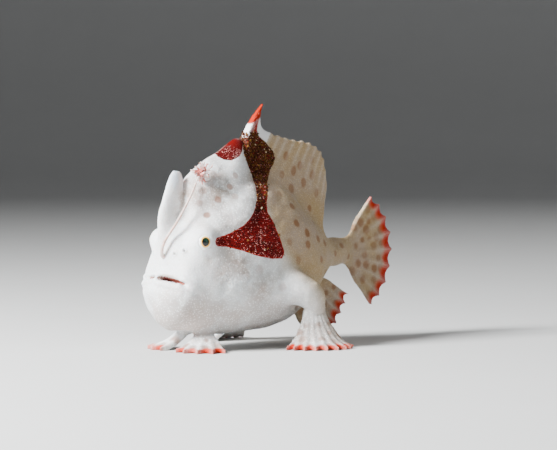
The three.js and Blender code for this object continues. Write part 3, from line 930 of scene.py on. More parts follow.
RAY_END = (0.38, 0.015, 0.0003)
SPINE_TIP_SHADE = (0.30, 0.42, 0.55)
OPENING_SHADE = (0.16, 0.09, 0.075)
LIP_PINK = (0.40, 0.15, 0.11)
MOUTH_RED = (0.24, 0.05, 0.035)
THROAT_SHADE = (0.05, 0.006, 0.005)


def skin_material(name):
    """The skin: white face, cream trunk, brown spots, granular red saddle and orange fin edges, with
    light and shade painted in places.
    """
    _, colours = settings()
    n = Nodes(name)
    place = n.place()
    wide = n.noise(160.0, 3.0, 0.5, place)
    fine = n.noise(900.0, 4.0, 0.6, place)
    sandy = n.noise(2600.0, 3.0, 0.65, place)

    def times(first, second):
        """Two shares or numbers multiplied."""
        return n.math("MULTIPLY", first, second)

    def wavy(name, noise, amount):
        """A stored number with a rough edge."""
        stored = n.attribute(name)
        return n.math("ADD", stored, times(n.math("SUBTRACT", noise, 0.5), amount))

    base = n.ramp(wavy("rear", wide, 0.45), 0.05, 0.95)
    base = n.mix(base, tuple(colours.white), tuple(colours.cream))
    # Painted light: the front of the face and the second spine get a brighter white, with less mottling
    # and dark ground, as if washed out by a strong lamp
    base = n.mix(n.attribute("painted_face_light"), base, FACE_PAINTED_LIGHT)
    outside_painted_light = n.math("SUBTRACT", 1.0, times(n.attribute("painted_face_light"), 0.75))
    base = n.mix(times(n.ramp(wide, 0.47, 0.68), times(outside_painted_light, 0.36)), base, MOTTLING)
    # Smudges: real red-brown smudges, and painted grey-brown shade in the hollow between the second
    # spine and the hump
    smudge_and_shade = n.math("MULTIPLY", n.attribute("smudge_and_shade"), n.ramp(fine, 0.25, 0.6), clamp=True)
    sand_and_shade = n.mix(n.ramp(wide, 0.38, 0.58), GREY_SAND_AND_SHADE, PINK_SAND_AND_SHADE)
    base = n.mix(smudge_and_shade, base, sand_and_shade)
    # Pale dots where prickles stand, on a darker ground, and pale prickle tips
    dots = n.ramp(n.cells(3500.0, place), 0.45, 0.10)
    dot_colour = n.mix(n.attribute("rear"), WHITE_DOTS, TAN_DOTS)
    ground = times(n.math("SUBTRACT", 1.0, dots), n.ramp(wide, 0.25, 0.65))
    ground = times(ground, outside_painted_light)
    base = n.mix(times(ground, 0.9), base, n.mix(0.6, base, DARK_GROUND))
    base = n.mix(times(dots, 0.45), base, dot_colour)
    base = n.mix(times(n.ramp(sandy, 0.46, 0.30), 0.2), base, GRIT)
    base = n.mix(times(n.attribute("raised"), 0.3), base, PRICKLE_TIP)

    # Spots are darkest in the middle, and dusted with fine grains
    core = n.ramp(wavy("spot", fine, 0.45), -0.12, 0.42)
    core = times(core, n.attribute("spot_strength"))
    spot_colour = n.mix(n.attribute("rear"), FACE_SPOT, tuple(colours.brown))
    base = n.mix(times(core, 0.88), base, spot_colour)

    # Fin edges: orange, deeper towards the rim, with paler rays
    edge = wavy("fin_edge", wide, 0.5)
    deep = n.mix(n.ramp(edge, 0.5, 1.0), tuple(colours.orange), DEEP_ORANGE)
    base = n.mix(n.ramp(edge, 0.30, 0.85), base, deep)
    base = n.mix(times(n.attribute("ray"), 0.22), base, PALE_RAY)

    # Saddle: deep red between bright beads, with a scarlet rim where no silt lies
    inside = wavy("saddle", n.noise(1500.0, 2.0, 0.5, place), 0.16)
    cell = n.cells(4800.0, place)
    tint = n.add("ShaderNodeSeparateColor")
    n.put(tint.inputs[0], n.cells(4800.0, place, output="Color"))
    grain = n.ramp(cell, 0.50, 0.22)
    red = n.ramp(n.noise(700.0, 3.0, 0.6, place), 0.35, 0.7)
    red = n.mix(red, tuple(colours.red), LIGHTER_RED)
    red = n.mix(times(grain, n.ramp(tint.outputs[0], 0.3, 0.8)), red, RED_GRAIN)
    # The skin under the silt is darkened, partly as dust and partly as painted shade between the grains
    dust_and_shade = times(n.attribute("silt"), n.ramp(fine, 0.34, 0.5))
    red = n.mix(times(dust_and_shade, 0.8), red, SILT_STAIN_AND_SHADE)
    rim = times(n.ramp(inside, 0.26, 0.08), n.math("SUBTRACT", 1.0, n.attribute("silt")))
    red = n.mix(times(rim, 0.8), red, tuple(colours.scarlet))
    base = n.mix(n.ramp(inside, -0.03, 0.05), base, red)

    # Tip of the third spine: beaded in front, plain orange-red at the crest
    tip = wavy("tip", n.noise(1500.0, 2.0, 0.5, place), 0.14)
    tip_colour = n.mix(n.attribute("tip_grain"), TIP_CREST, TIP_FRONT)
    base = n.mix(n.ramp(tip, -0.03, 0.05), base, tip_colour)

    # First ray of the back fin: a red stripe between white edges, and an orange tip
    stripe = times(n.attribute("ray_red"), n.ramp(fine, 0.2, 0.5))
    base = n.mix(times(stripe, 0.85), base, RAY_STRIPE)
    base = n.mix(n.attribute("ray_white"), base, RAY_BORDER)
    base = n.mix(n.ramp(n.attribute("ray_tip"), 0.3, 0.7), base, RAY_END)

    # Painted bluish shade on the thin tip of the second spine, painted shade in the nostrils and gill
    # openings, and the inside of the mouth, painted darker deeper in
    base = n.mix(times(n.attribute("spine_tip_shade"), 0.5), base, SPINE_TIP_SHADE)
    # Painted shade in the middles of the nostrils and gill openings
    base = n.mix(times(n.attribute("pit"), 0.8), base, OPENING_SHADE)
    throat = n.mix(n.ramp(fine, 0.3, 0.65), LIP_PINK, MOUTH_RED)
    # Painted shade: the inside of the mouth grows darker the deeper it lies
    throat = n.mix(n.attribute("deep"), throat, THROAT_SHADE)
    base = n.mix(n.ramp(n.attribute("mouth"), 0.05, 0.5), base, throat)

    pebbles = n.ramp(n.cells(6500.0, place), 0.62, 0.1)
    normal = n.bump(n.noise(420.0, 4.0, 0.6, place), 0.00026, 0.5)
    normal = n.bump(pebbles, 0.00004, 0.6, normal)
    return n.finish(
        colour=base,
        roughness=n.math("ADD", 0.34, times(fine, 0.28)),
        normal=normal,
        specular=0.12,
        subsurface=0.22,
        radius=(1.0, 0.55, 0.4),
        scale=0.0005,
    )


class FROGFISH_OT_skin(bpy.types.Operator):
    """Make the one skin that covers body, head spines, arms and fins"""

    bl_idname = "frogfish.skin"
    bl_label = "Skin"

    def execute(self, context):
        sizes, _ = settings()
        fins = make_fins()
        body_points, body_faces = closed_loft(body_rings())
        arm = tube_rings(ARM_CENTRES, ARM_RADII, UPWARDS, 40, 36)
        blade = tube_rings(SECOND_SPINE_CENTRES, SECOND_SPINE_RADII, SIDEWAYS, 48, 36)
        web = tube_rings(SPINE_WEB_CENTRES, SPINE_WEB_RADII, SIDEWAYS, 30, 24)
        spines = [
            closed_loft(blade),
            closed_loft(web),
            closed_loft(hump_rings()),
            closed_loft(arm),
            closed_loft(mirrored(arm)[:, ::-1]),
        ]
        skin = mesh_object("body_shell", body_points, body_faces)
        cavity = mesh_object("mouth_shell", *closed_loft(mouth_rings(sizes.mouth_opening / MM)))
        limbs = mesh_object("limb_shells", *joined_shells(spines + [fin.shell() for fin in fins]))
        for piece in (skin, cavity, limbs):
            turn_outwards(piece.data)
        cut = skin.modifiers.new("mouth", "BOOLEAN")
        cut.operation = "DIFFERENCE"
        cut.solver = "MANIFOLD"
        cut.object = cavity
        applied(skin, cut)
        bpy.ops.object.select_all(action="DESELECT")
        limbs.select_set(True)
        skin.select_set(True)
        context.view_layer.objects.active = skin
        bpy.ops.object.join()
        bpy.data.objects.remove(cavity)
        skin.name = "skin"
        remesh = skin.modifiers.new("one_surface", "REMESH")
        remesh.mode = "VOXEL"
        remesh.voxel_size = sizes.grain / MM
        applied(skin, remesh)
        shape_skin(skin.data, fins, spines, body_points, sizes)
        skin.data.materials.clear()
        skin.data.materials.append(skin_material("frogfish_skin"))
        finish_piece(skin, "skin", *FLESH)
        return {"FINISHED"}


def turn_outwards(mesh):
    """Turns every face of a closed mesh outwards."""
    work = bmesh.new()
    work.from_mesh(mesh)
    bmesh.ops.recalc_face_normals(work, faces=work.faces)
    work.to_mesh(mesh)
    work.free()


def outwards(mesh):
    """The direction outwards at each point of a mesh."""
    normals = np.empty(len(mesh.vertices) * 3)
    mesh.vertex_normals.foreach_get("vector", normals)
    return normals.reshape(-1, 3)


def ripples(points, length, seed, waves=18):
    """Soft random swelling between about -1 and 1, with a given distance from crest to crest."""
    chance = np.random.default_rng(seed)
    total = np.zeros(len(points))
    for _ in range(waves):
        way = chance.normal(0, 1, 3)
        way *= 2 * math.pi / (np.linalg.norm(way) * length * chance.uniform(0.7, 1.5))
        total += np.sin(points @ way + chance.uniform(0, 2 * math.pi))
    return total / math.sqrt(waves)


def eye_frame(points):
    """Each point's distance in front of its side's eye centre and from the eye's axis, and that axis."""
    side = np.sign(points[:, 0])
    here = points - np.stack([side * EYE_PLACE[0], 0 * side + EYE_PLACE[1], 0 * side + EYE_PLACE[2]], -1)
    axis = np.stack([side * EYE_AXIS[0], 0 * side + EYE_AXIS[1], 0 * side + EYE_AXIS[2]], -1)
    forward = (here * axis).sum(1)
    return forward, np.linalg.norm(here - forward[:, None] * axis, axis=1), axis


def wrapped_eyes(points):
    """Points moved along the eyes' axes: the skin closes round each ball and sinks behind its front."""
    forward, aside, axis = eye_frame(points)
    ball = np.sqrt(EYE_RADIUS**2 - np.minimum(aside, 0.95) ** 2)
    ball -= 0.45 * np.maximum(aside - 0.95, 0.0)
    lid = ball + 0.05 + 0.03 * bell(aside - 0.93, 0.12)
    wanted = blend(ball - 0.4, lid, smooth_step(aside, EYE_SHOWN - 0.06, EYE_SHOWN + 0.06))
    share = (1 - smooth_step(aside, 1.0, 2.7)) * smooth_step(forward, -1.6, -0.6)
    return points + axis * (share * (wanted - forward))[:, None]


def crater(points, place, radius, rim, pit):
    """Height of a small raised ring with a pit in it, on both sides, and the distance to its middle."""
    flipped = mirrored(place)
    away = np.minimum(np.linalg.norm(points - place, axis=1), np.linalg.norm(points - flipped, axis=1))
    return rim * bell(away - radius, radius * 0.45) - pit * bell(away, radius * 0.6), away


def segment_away(points, start, end):
    """Distance to a straight line between two places, on both sides, and the share of its length."""
    spot = points * np.stack([np.sign(points[:, 0]), np.ones(len(points)), np.ones(len(points))], -1)
    way = end - start
    share = np.clip(((spot - start) @ way) / (way @ way), 0, 1)
    return np.linalg.norm(spot - start - share[:, None] * way, axis=1), share


class Nearness:
    """How near each point of the skin lies to the fins, the body, the limbs and the mouth's edge."""

    def __init__(self, points, fins, spines, body_points, opening):
        index, away = nearest_of(points, np.concatenate([fin.middle.reshape(-1, 3) for fin in fins]))
        half = np.concatenate([fin.half.reshape(-1) for fin in fins])[index]
        self.out = np.concatenate([fin.out.reshape(-1) for fin in fins])[index]
        self.place = np.concatenate([fin.place.reshape(-1) for fin in fins])[index]
        self.kind = np.concatenate([np.full(fin.half.size, i) for i, fin in enumerate(fins)])[index]
        self.fin = np.maximum(away - half, 0.0)
        self.body = nearest_of(points, body_points)[1]
        self.limb = np.minimum(self.fin, nearest_of(points, joined_shells(spines)[0])[1])
        x, s, z = points.T
        self.level = z - mouth_height(s) - mouth_droop(x)
        self.mouth = np.abs(self.level) - mouth_gape(x, opening)
        self.at_mouth = (np.abs(x) < 5.2) & (s < 5.0)
        self.inside_mouth = self.at_mouth & (self.body > 0.22) & (self.mouth < 0.6) & (self.limb > 0.35)


def shape_skin(mesh, fins, spines, body_points, sizes):
    """Softens the joins, models the relief and stores where each marking lies."""
    points, edges = mesh_arrays(mesh)
    points = relaxed(points, edges, np.full(len(points), 0.5), 3)
    near = Nearness(points, fins, spines, body_points, sizes.mouth_opening / MM)
    points = softened(points, edges, near)
    mesh.vertices.foreach_set("co", points.reshape(-1))
    mesh.update()
    rise, pits = relief(points, near)
    points = wrapped_eyes(points + outwards(mesh) * rise[:, None])
    points[:, 2] = np.maximum(points[:, 2], 0.0)
    store_markings(mesh, points, near, pits, fins)
    mesh.vertices.foreach_set("co", to_world(points).reshape(-1))
    mesh.update()


def softened(points, edges, near):
    """Points with soft joins between body, limbs and fins, and with the lips left sharp."""
    joint = bell(near.body, 1.1) * bell(near.limb, 1.1)
    joint *= 1 - near.at_mouth * bell(near.mouth, 1.2)
    points = relaxed(points, edges, 0.7 * joint, 90)
    even = np.where(near.at_mouth & (near.mouth < 0.5), 0.1, 0.5)
    return relaxed(points, edges, even, 3)


def relief(points, near):
    """Height of the lips, folds, openings and warts on the plain skin, and how strongly shade is painted
    into the openings.
    """
    rise = np.zeros(len(points))
    pits = np.zeros(len(points))
    fade = near.at_mouth * smooth_step(-np.abs(points[:, 0]), -5.2, -3.6)
    upper_lip = 0.09 * bell(near.mouth - 0.26, 0.28)
    lower_lip = 0.13 * bell(near.mouth - 0.32, 0.34)
    rise += fade * np.where(near.level > 0, upper_lip, lower_lip)
    rise -= fade * 0.05 * bell(near.mouth - 0.95, 0.32)
    corner_away, corner_share = segment_away(points, *MOUTH_FOLD)
    rise -= 0.20 * bell(corner_away, 0.28) * (1 - corner_share)
    rise += 0.10 * bell(corner_away - 0.6, 0.3) * (1 - corner_share)
    for station, angle, radius, rim, depth, dark in OPENINGS:
        place = body_surface(np.array(station), np.array(angle))
        ring, away = crater(points, place, radius, rim, depth)
        rise += ring
        pits = np.maximum(pits, bell(away, dark))
    _, eye_aside, _ = eye_frame(points)
    calm = 1 - bell(eye_aside, 2.0) * 0.7
    on_body = 1 - 0.75 * bell(near.fin, 0.5) * smooth_step(near.out, 0.2, 0.5)
    rise += 0.075 * ripples(points, 5.2, 3) * on_body * calm
    rise += 0.03 * ripples(points, 1.9, 4) * on_body * calm
    rise += warts(points) * on_body
    rise[near.inside_mouth] = 0.0
    return rise, pits


def store_markings(mesh, points, near, pits, fins):
    """Stores how deep each point lies in every marking, and in the painted light and shade, for the
    materials.
    """
    x, s, z = points.T
    on_fin = bell(near.fin, 0.35) * smooth_step(near.out, 0.05, 0.3)
    store(mesh, "rear", smooth_step(s + 0.7 * (z - 13), 11.0, 20.0) * smooth_step(s, 12.5, 17.0))
    # Painted light: where the front of the face and the second spine are painted brighter
    store(mesh, "painted_face_light", (1 - smooth_step(s, 4.8, 8.5)) * smooth_step(z, 6.0, 10.5))
    weight = np.array([EDGE_SHARE[fin.name] for fin in fins])[near.kind]
    store(mesh, "fin_edge", on_fin * weight * smooth_step(near.out, 0.66, 1.0))
    ridge = 1 - np.minimum(np.abs(near.place - np.round(near.place)) / 0.3, 1)
    store(mesh, "ray", on_fin * ridge * smooth_step(near.out, 0.3, 0.8))
    off_saddle = outside_polygon(s, z, SADDLE)
    store(mesh, "saddle", -off_saddle)
    store(mesh, "silt", smooth_step(z, 15.5, 24.5))
    store(mesh, "tip", -outside_polygon(s, z, TIP))
    store(mesh, "tip_grain", smooth_step(0.55 * (s - 12.4) + (z - 26.6), 0.5, -0.6))
    first_ray = (near.kind == 0) * on_fin * (near.place < 1.0)
    store(mesh, "ray_tip", first_ray * smooth_step(z - 0.5 * (s - 18), 29.9, 30.7))
    front = first_ray * (1 - smooth_step(near.place, 0.06, 0.16)) * smooth_step(z, 27.2, 28.2)
    behind = smooth_step(off_saddle, -0.02, 0.12) * smooth_step(s - 0.45 * (z - 28), 16.6, 17.0)
    store(mesh, "ray_white", np.maximum(front, first_ray * behind))
    store(mesh, "ray_red", first_ray * smooth_step(z, 27.6, 28.6))
    # Painted shade: the bluish grey of the second spine's thin tip
    store(mesh, "spine_tip_shade", smooth_step(z, 20.4, 22.8) * (1 - smooth_step(s, 3.8, 4.3)) * (np.abs(x) < 1.4))
    store(mesh, "pit", pits)
    store(mesh, "mouth", near.inside_mouth * smooth_step(near.body, 0.2, 0.5))
    # Painted shade: how deep inside the mouth a point lies
    store(mesh, "deep", near.inside_mouth * smooth_step(near.body, 0.6, 1.5))
    store_spots(mesh, points, near.kind, fins)
    # Smudges, partly real and partly painted shade beside the second spine
    smudge_and_shade = np.zeros(len(points))
    for at_s, at_z, radius, strength in SMUDGES_AND_SHADE:
        smudge_and_shade += strength * bell(np.hypot(s - at_s, z - at_z), radius)
    store(mesh, "smudge_and_shade", smudge_and_shade)


def warts(points):
    """Low round swellings scattered over the trunk and fins, sparser on the head."""
    chance = np.random.default_rng(21)
    rise = np.zeros(len(points))
    tries = points[chance.integers(0, len(points), 150)]
    for place in tries:
        if place[1] < 8 and chance.random() < 0.6:
            continue
        radius = chance.uniform(0.25, 0.5)
        height = chance.uniform(0.03, 0.09)
        rise += height * bell(np.linalg.norm(points - place, axis=1), radius)
    return rise


def store(mesh, name, values):
    """Keeps one number for each point of the mesh."""
    layer = mesh.attributes.new(name, "FLOAT", "POINT")
    layer.data.foreach_set("value", np.asarray(values, dtype=np.float32))


def store_spots(mesh, points, kind, fins):
    """Stores how deep each point lies in the spot that holds it most, and how dark that spot is."""
    depth = np.full(len(points), -1.0)
    dark = np.zeros(len(points))

    def add(place, radius, strength, among, stretch=1.0):
        """Puts in one spot, where the points lie deeper in it than in those before."""
        offset = points - place
        if stretch > 1.0:
            way = np.array([0.0, 0.42, 0.91])
            along = offset @ way
            offset = offset - np.outer(along * (1 - 1 / stretch), way)
        level = 1 - np.linalg.norm(offset, axis=1) / (radius * 1.12)
        closer = among & (level > depth)
        depth[closer] = level[closer]
        dark[closer] = strength

    everywhere = np.ones(len(points), bool)
    for side in (1, -1):
        for spot_s, spot_z, radius, strength in SPOTS:
            shift = 0.0 if side > 0 else 0.35 * math.sin(7 * spot_s + 3 * spot_z)
            miss = np.hypot(points[:, 1] - spot_s - shift, points[:, 2] - spot_z + shift)
            miss += np.where(side * points[:, 0] > 0.05, 0, 50)
            stretch = 1.55 if spot_z > 19.9 and spot_s > 20 else 1.0
            add(points[np.argmin(miss)], radius, strength, everywhere, stretch)
    chance = np.random.default_rng(11)
    for number, fin in enumerate(fins):
        if fin.name not in FIN_SPOTS:
            continue
        count = FIN_SPOTS[fin.name]
        columns, rows = fin.half.shape
        chosen = []
        for _ in range(600):
            if len(chosen) == count:
                break
            column = chance.integers(2, columns - 2)
            row = chance.integers(int(rows * 0.2), int(rows * 0.88))
            here = fin.middle[column, row]
            if all(np.linalg.norm(here - other) > 1.25 for other in chosen):
                chosen.append(here)
        for here in chosen:
            add(here, chance.uniform(0.55, 0.85), chance.uniform(0.5, 0.9), kind == number)
    store(mesh, "spot", depth)
    store(mesh, "spot_strength", dark)


# Markings, and painted light and shade, that prickles, beads and silt take over from the skin at their
# roots
COPIED = ["rear", "painted_face_light", "fin_edge", "ray", "saddle", "silt", "tip", "tip_grain", "ray_tip"]
COPIED += ["ray_white", "ray_red", "spine_tip_shade", "pit", "mouth", "deep", "spot", "spot_strength", "smudge_and_shade"]

# Width of skin that one side of the sheet takes in, in metres, and the size on the sheet of one shape
SHEET_SIZE = 0.046
PATCH_RADIUS = 0.0015
# In metres: bare skin above the floor, distances between beads and between grains, top of the silt
BARE_HEIGHT = 0.00012
BEAD_GAP = 0.00017
SILT_GAP = 0.00013
SILT_TOP = 0.0284


def read_layer(mesh, name):
    """The numbers kept for each point under a name."""
    values = np.empty(len(mesh.vertices), dtype=np.float32)
    mesh.attributes[name].data.foreach_get("value", values)
    return values


def box_unwrap(points, normals):
    """A place on a flat sheet for each point of the skin: one of six sides, by the way it faces."""
    side = np.argmax(np.abs(normals), axis=1)
    rows = np.arange(len(points))
    back = normals[rows, side] < 0
    others = np.array([[1, 2], [0, 2], [0, 1]])[side]
    flat = np.stack([points[rows, others[:, 0]], points[rows, others[:, 1]]], -1)
    flat = (flat + np.array([0.5 * SHEET_SIZE, 0.0])) / SHEET_SIZE
    flat[:, 1] += np.where(others[:, 1] == 1, 0.5, 0.05)
    cell = side * 2 + back
    corner = np.stack([(cell % 3) / 3, (cell // 3) / 2], -1)
    return corner + np.clip(flat, 0.02, 0.98) * np.array([1 / 3, 1 / 2])


def planted(name, skin, roots, shapes, faces, material):
    """One mesh of many small shapes, each with the markings and the sheet place of its root."""
    count = len(roots)
    corners = shapes.shape[1]
    points = shapes.reshape(-1, 3)
    offsets = np.arange(count)[:, None, None] * corners
    triangles = (np.asarray(faces)[None] + offsets).reshape(-1, 3)
    mesh = bpy.data.meshes.new(name)
    mesh.vertices.add(len(points))
    mesh.vertices.foreach_set("co", points.reshape(-1))
    mesh.loops.add(triangles.size)
    mesh.loops.foreach_set("vertex_index", triangles.reshape(-1).astype(np.int32))
    mesh.polygons.add(len(triangles))
    mesh.polygons.foreach_set("loop_start", np.arange(0, triangles.size, 3, dtype=np.int32))
    mesh.update(calc_edges=True)
    mesh.validate()
    for layer in COPIED:
        store(mesh, layer, np.repeat(read_layer(skin, layer)[roots], corners))
    sheet = box_unwrap(mesh_arrays(skin)[0], outwards(skin))[roots]
    ring = np.linspace(0, 2 * math.pi, corners, endpoint=False)
    patch = PATCH_RADIUS * np.stack([np.cos(ring), np.sin(ring)], -1)
    place = (sheet[:, None] + patch[None]).reshape(-1, 2)
    layer = mesh.uv_layers.new(name="OFBake")
    layer.data.foreach_set("uv", place[triangles.reshape(-1)].reshape(-1).astype(np.float32))
    piece = bpy.data.objects.new(name, mesh)
    bpy.context.scene.collection.objects.link(piece)
    mesh.materials.append(material)
    finish_piece(piece, "skin")
    return piece


def skin_frames(skin):
    """The skin's points, directions outwards and two directions along it, in metres."""
    normals = outwards(skin)
    back = np.array([0.0, 1.0, 0.0]) - normals * normals[:, 1:2]
    back /= np.maximum(np.linalg.norm(back, axis=1, keepdims=True), 1e-6)
    return mesh_arrays(skin)[0], normals, back, np.cross(normals, back)


class FROGFISH_OT_coat(bpy.types.Operator):
    """Plant the tiny forked prickles that roughen the skin, in a front and a rear piece"""

    bl_idname = "frogfish.coat"
    bl_label = "Prickles"

    def execute(self, context):
        sizes, _ = settings()
        skin = bpy.data.objects["skin"].data
        points, normals, back, across = skin_frames(skin)
        bare = (read_layer(skin, "mouth") > 0.02) | (read_layer(skin, "pit") > 0.25)
        bare |= points[:, 2] < BARE_HEIGHT
        # In fish millimetres, but for the tail's curve
        place = points * 1000 + np.array([0, MIDDLE, 0])
        _, eye_aside, _ = eye_frame(place)
        bare |= (eye_aside < 1.0) & (place[:, 1] < 7)
        bare |= (read_layer(skin, "saddle") > -0.05) | (read_layer(skin, "tip") > -0.05)
        material = bpy.data.materials["frogfish_skin"]
        cut = np.median(points[~bare, 1])
        chance = np.random.default_rng(31)
        halves = [("prickles_front", points[:, 1] < cut), ("prickles_rear", points[:, 1] >= cut)]
        for name, half in halves:
            able = np.nonzero(half & ~bare)[0]
            roots = chance.permutation(able)[: sizes.prickles]
            count = len(roots)
            spin = chance.uniform(0, 2 * math.pi, count)[:, None]
            fork = back[roots] * np.cos(spin) + across[roots] * np.sin(spin)
            size = chance.uniform(0.6, 1.15, count) * sizes.prickle_height
            size *= np.where(place[roots, 1] < 6, 0.75, 1.0)
            size = size[:, None]
            side = np.cross(normals[roots], fork)
            foot = 0.95 * size
            shapes = []
            for lean in (1, -1):
                base = points[roots] - normals[roots] * 0.12 * size + fork * foot * 0.4 * lean
                shapes += [
                    base + fork * foot * 0.8 * lean,
                    base + side * foot * 0.7 - fork * foot * 0.3 * lean,
                    base - side * foot * 0.7 - fork * foot * 0.3 * lean,
                    base + normals[roots] * size + fork * size * 0.2 * lean + back[roots] * size * 0.6,
                ]
            faces = [(0, 1, 3), (1, 2, 3), (2, 0, 3), (4, 7, 5), (5, 7, 6), (6, 7, 4)]
            piece = planted(name, skin, roots, np.stack(shapes, 1), faces, material)
            store(piece.data, "raised", np.tile([0, 0, 0, 1, 0, 0, 0, 1], count))
        return {"FINISHED"}


def bead(rings):
    """A low six-sided dome of a few rings: directions (out, along, across) and triangles."""
    corners = [(1.0, 0.0, 0.0)]
    for r, (height, radius) in enumerate(rings):
        for k in range(6):
            turn = (k + 0.5 * r) * math.pi / 3
            corners.append((height, radius * math.cos(turn), radius * math.sin(turn)))
    faces = [(0, 1 + k, 1 + (k + 1) % 6) for k in range(6)]
    for r in range(1, len(rings)):
        for k in range(6):
            a = 6 * r - 5 + k
            b = 6 * r - 5 + (k + 1) % 6
            faces += [(a, a + 6, b), (b, a + 6, b + 6)]
    return np.array(corners), faces


class FROGFISH_OT_grains(bpy.types.Operator):
    """Plant the raised beads of the red saddle and scarlet tip, and the silt settled on the dark band"""

    bl_idname = "frogfish.grains"
    bl_label = "Beads and silt"

    def execute(self, context):
        skin = bpy.data.objects["skin"].data
        points, normals, back, across = skin_frames(skin)
        saddle = read_layer(skin, "saddle")
        silt = read_layer(skin, "silt")
        tip = read_layer(skin, "tip")
        chance = np.random.default_rng(44)

        crest = (tip > 0.03) & (read_layer(skin, "tip_grain") > 0.35)
        red = np.nonzero(((saddle > 0.03) & (tip < 0)) | crest)[0]
        roots = spaced(points, chance.permutation(red), BEAD_GAP)
        radius = chance.uniform(0.000045, 0.00008, len(roots))
        corners, faces = bead([(0.62, 0.75), (-0.3, 1.0)])
        shapes = lumps(corners, points, normals, back, across, roots, radius, 0.8, chance, 0.12)
        material = bead_material("frogfish_beads")
        planted("saddle_beads", skin, roots, shapes, faces, material)

        dusty = (saddle > -0.25) & (silt > 0.02) & (tip < 0.0) & (points[:, 2] < SILT_TOP)
        order = chance.permutation(np.nonzero(dusty)[0])
        share = np.where(saddle[order] > 0.04, silt[order] ** 1.4, 0.03 * silt[order])
        order = order[chance.random(len(order)) < share * 0.6]
        roots = spaced(points, order, SILT_GAP)
        low = np.nonzero((saddle > -0.1) & (silt < 0.55) & (tip < 0))[0]
        roots = np.concatenate([roots, chance.permutation(low)[:60]])
        radius = chance.uniform(0.00005, 0.00013, len(roots))
        radius *= chance.choice([1.0, 1.0, 1.0, 1.5], len(roots))
        corners, faces = bead([(0.55, 0.85), (-0.35, 0.9)])
        shapes = lumps(corners, points, normals, back, across, roots, radius, 1.0, chance, 0.45)
        grains = planted("silt", skin, roots, shapes, faces, silt_material("frogfish_silt"))
        store(grains.data, "shade", np.repeat(chance.random(len(roots)), len(corners)))
        return {"FINISHED"}


def spaced(points, order, gap):
    """Those of the ordered points that keep a distance from all taken before them."""
    cells = {}
    taken = []
    keys = np.floor(points[order] / gap).astype(np.int64)
    for i, key in zip(order, map(tuple, keys)):
        if key in cells:
            continue
        here = points[i]
        near = False
        for dx in (-1, 0, 1):
            for dy in (-1, 0, 1):
                for dz in (-1, 0, 1):
                    other = cells.get((key[0] + dx, key[1] + dy, key[2] + dz))
                    if other is not None and np.abs(here - other).max() < gap * 0.8:
                        near = True
        if not near:
            cells[key] = here
            taken.append(i)
    return np.array(taken)


def lumps(corners, points, normals, back, across, roots, radius, height, chance, rough):
    """Corners of the same small shape at every root, each turned, stretched and roughened by chance."""
    count = len(roots)
    spin = chance.uniform(0, 2 * math.pi, count)[:, None]
    first = back[roots] * np.cos(spin) + across[roots] * np.sin(spin)
    second = np.cross(normals[roots], first)
    stretch = chance.uniform(0.8, 1.25, (count, 1))
    shape = corners[None] * (1 + chance.normal(0, rough * 0.5, (count, len(corners), 1)))
    size = radius[:, None, None]
    out = normals[roots][:, None] * shape[..., :1] * size * height
    along = first[:, None] * shape[..., 1:2] * size * stretch[..., None]
    aside = second[:, None] * shape[..., 2:3] * size / stretch[..., None]
    return points[roots][:, None] + out + along + aside


# Colours of the beads and the silt, with painted shade in the darkest silt
DEEP_BEAD = (0.09, 0.0006, 0.0005)
RED_BEAD = (0.26, 0.004, 0.003)
PALE_BEAD = (0.74, 0.30, 0.27)
TIP_BEAD = (0.11, 0.0006, 0.0004)
PALE_TIP_BEAD = (0.62, 0.31, 0.28)
DARK_SILT_AND_SHADE = (0.018, 0.004, 0.0015)
BROWN_SILT = (0.065, 0.020, 0.0045)
GOLDEN_SILT = (0.16, 0.072, 0.014)
PALE_SILT = (0.50, 0.38, 0.25)


def bead_material(name):
    """Beads of red, pink and white skin."""
    n = Nodes(name)
    place = n.place()
    cell = n.add("ShaderNodeSeparateColor")
    n.put(cell.inputs[0], n.cells(5200.0, place, output="Color"))
    colour = n.mix(n.ramp(cell.outputs[0], 0.1, 0.9), DEEP_BEAD, RED_BEAD)
    pale = n.math("GREATER_THAN", cell.outputs[1], 0.80)
    colour = n.mix(n.math("MULTIPLY", pale, 0.85), colour, PALE_BEAD)
    on_tip = n.ramp(n.attribute("tip"), 0.0, 0.1)
    colour = n.mix(on_tip, colour, TIP_BEAD)
    tip_pale = n.math("MULTIPLY", n.attribute("tip_grain"), on_tip)
    tip_pale = n.math("MULTIPLY", tip_pale, n.math("GREATER_THAN", cell.outputs[2], 0.56))
    colour = n.mix(n.math("MULTIPLY", tip_pale, 0.85), colour, PALE_TIP_BEAD)
    return n.finish(colour=colour, roughness=0.5, specular=0.12, subsurface=0.2, scale=0.0003)


def silt_material(name):
    """Grains of golden-brown silt, a few of them pale; the darkest grains also stand for painted shade
    between the grains.
    """
    n = Nodes(name)
    shade = n.attribute("shade")
    colour = n.mix(n.ramp(shade, 0.0, 0.55), DARK_SILT_AND_SHADE, BROWN_SILT)
    colour = n.mix(n.ramp(shade, 0.6, 0.9), colour, GOLDEN_SILT)
    colour = n.mix(n.ramp(shade, 0.985, 0.99), colour, PALE_SILT)
    return n.finish(colour=colour, roughness=0.8, specular=0.12)


class FROGFISH_OT_eyes(bpy.types.Operator):
    """Make both eyes: ball, yellow ring and dark pupil under a clear bulge"""

    bl_idname = "frogfish.eyes"
    bl_label = "Eyes"

    def execute(self, context):
        sizes, colours = settings()
        for side, name in ((1, "left"), (-1, "right")):
            place = np.array(EYE_PLACE) * np.array([side, 1, 1])
            axis = EYE_AXIS * np.array([side, 1, 1])
            ball = eye_ball("eyeball_" + name, place, axis)
            ball.data.materials.append(eye_material("frogfish_eye_" + name, place, axis, sizes, colours))
            finish_piece(ball, "eye", "eye_" + name)
        return {"FINISHED"}


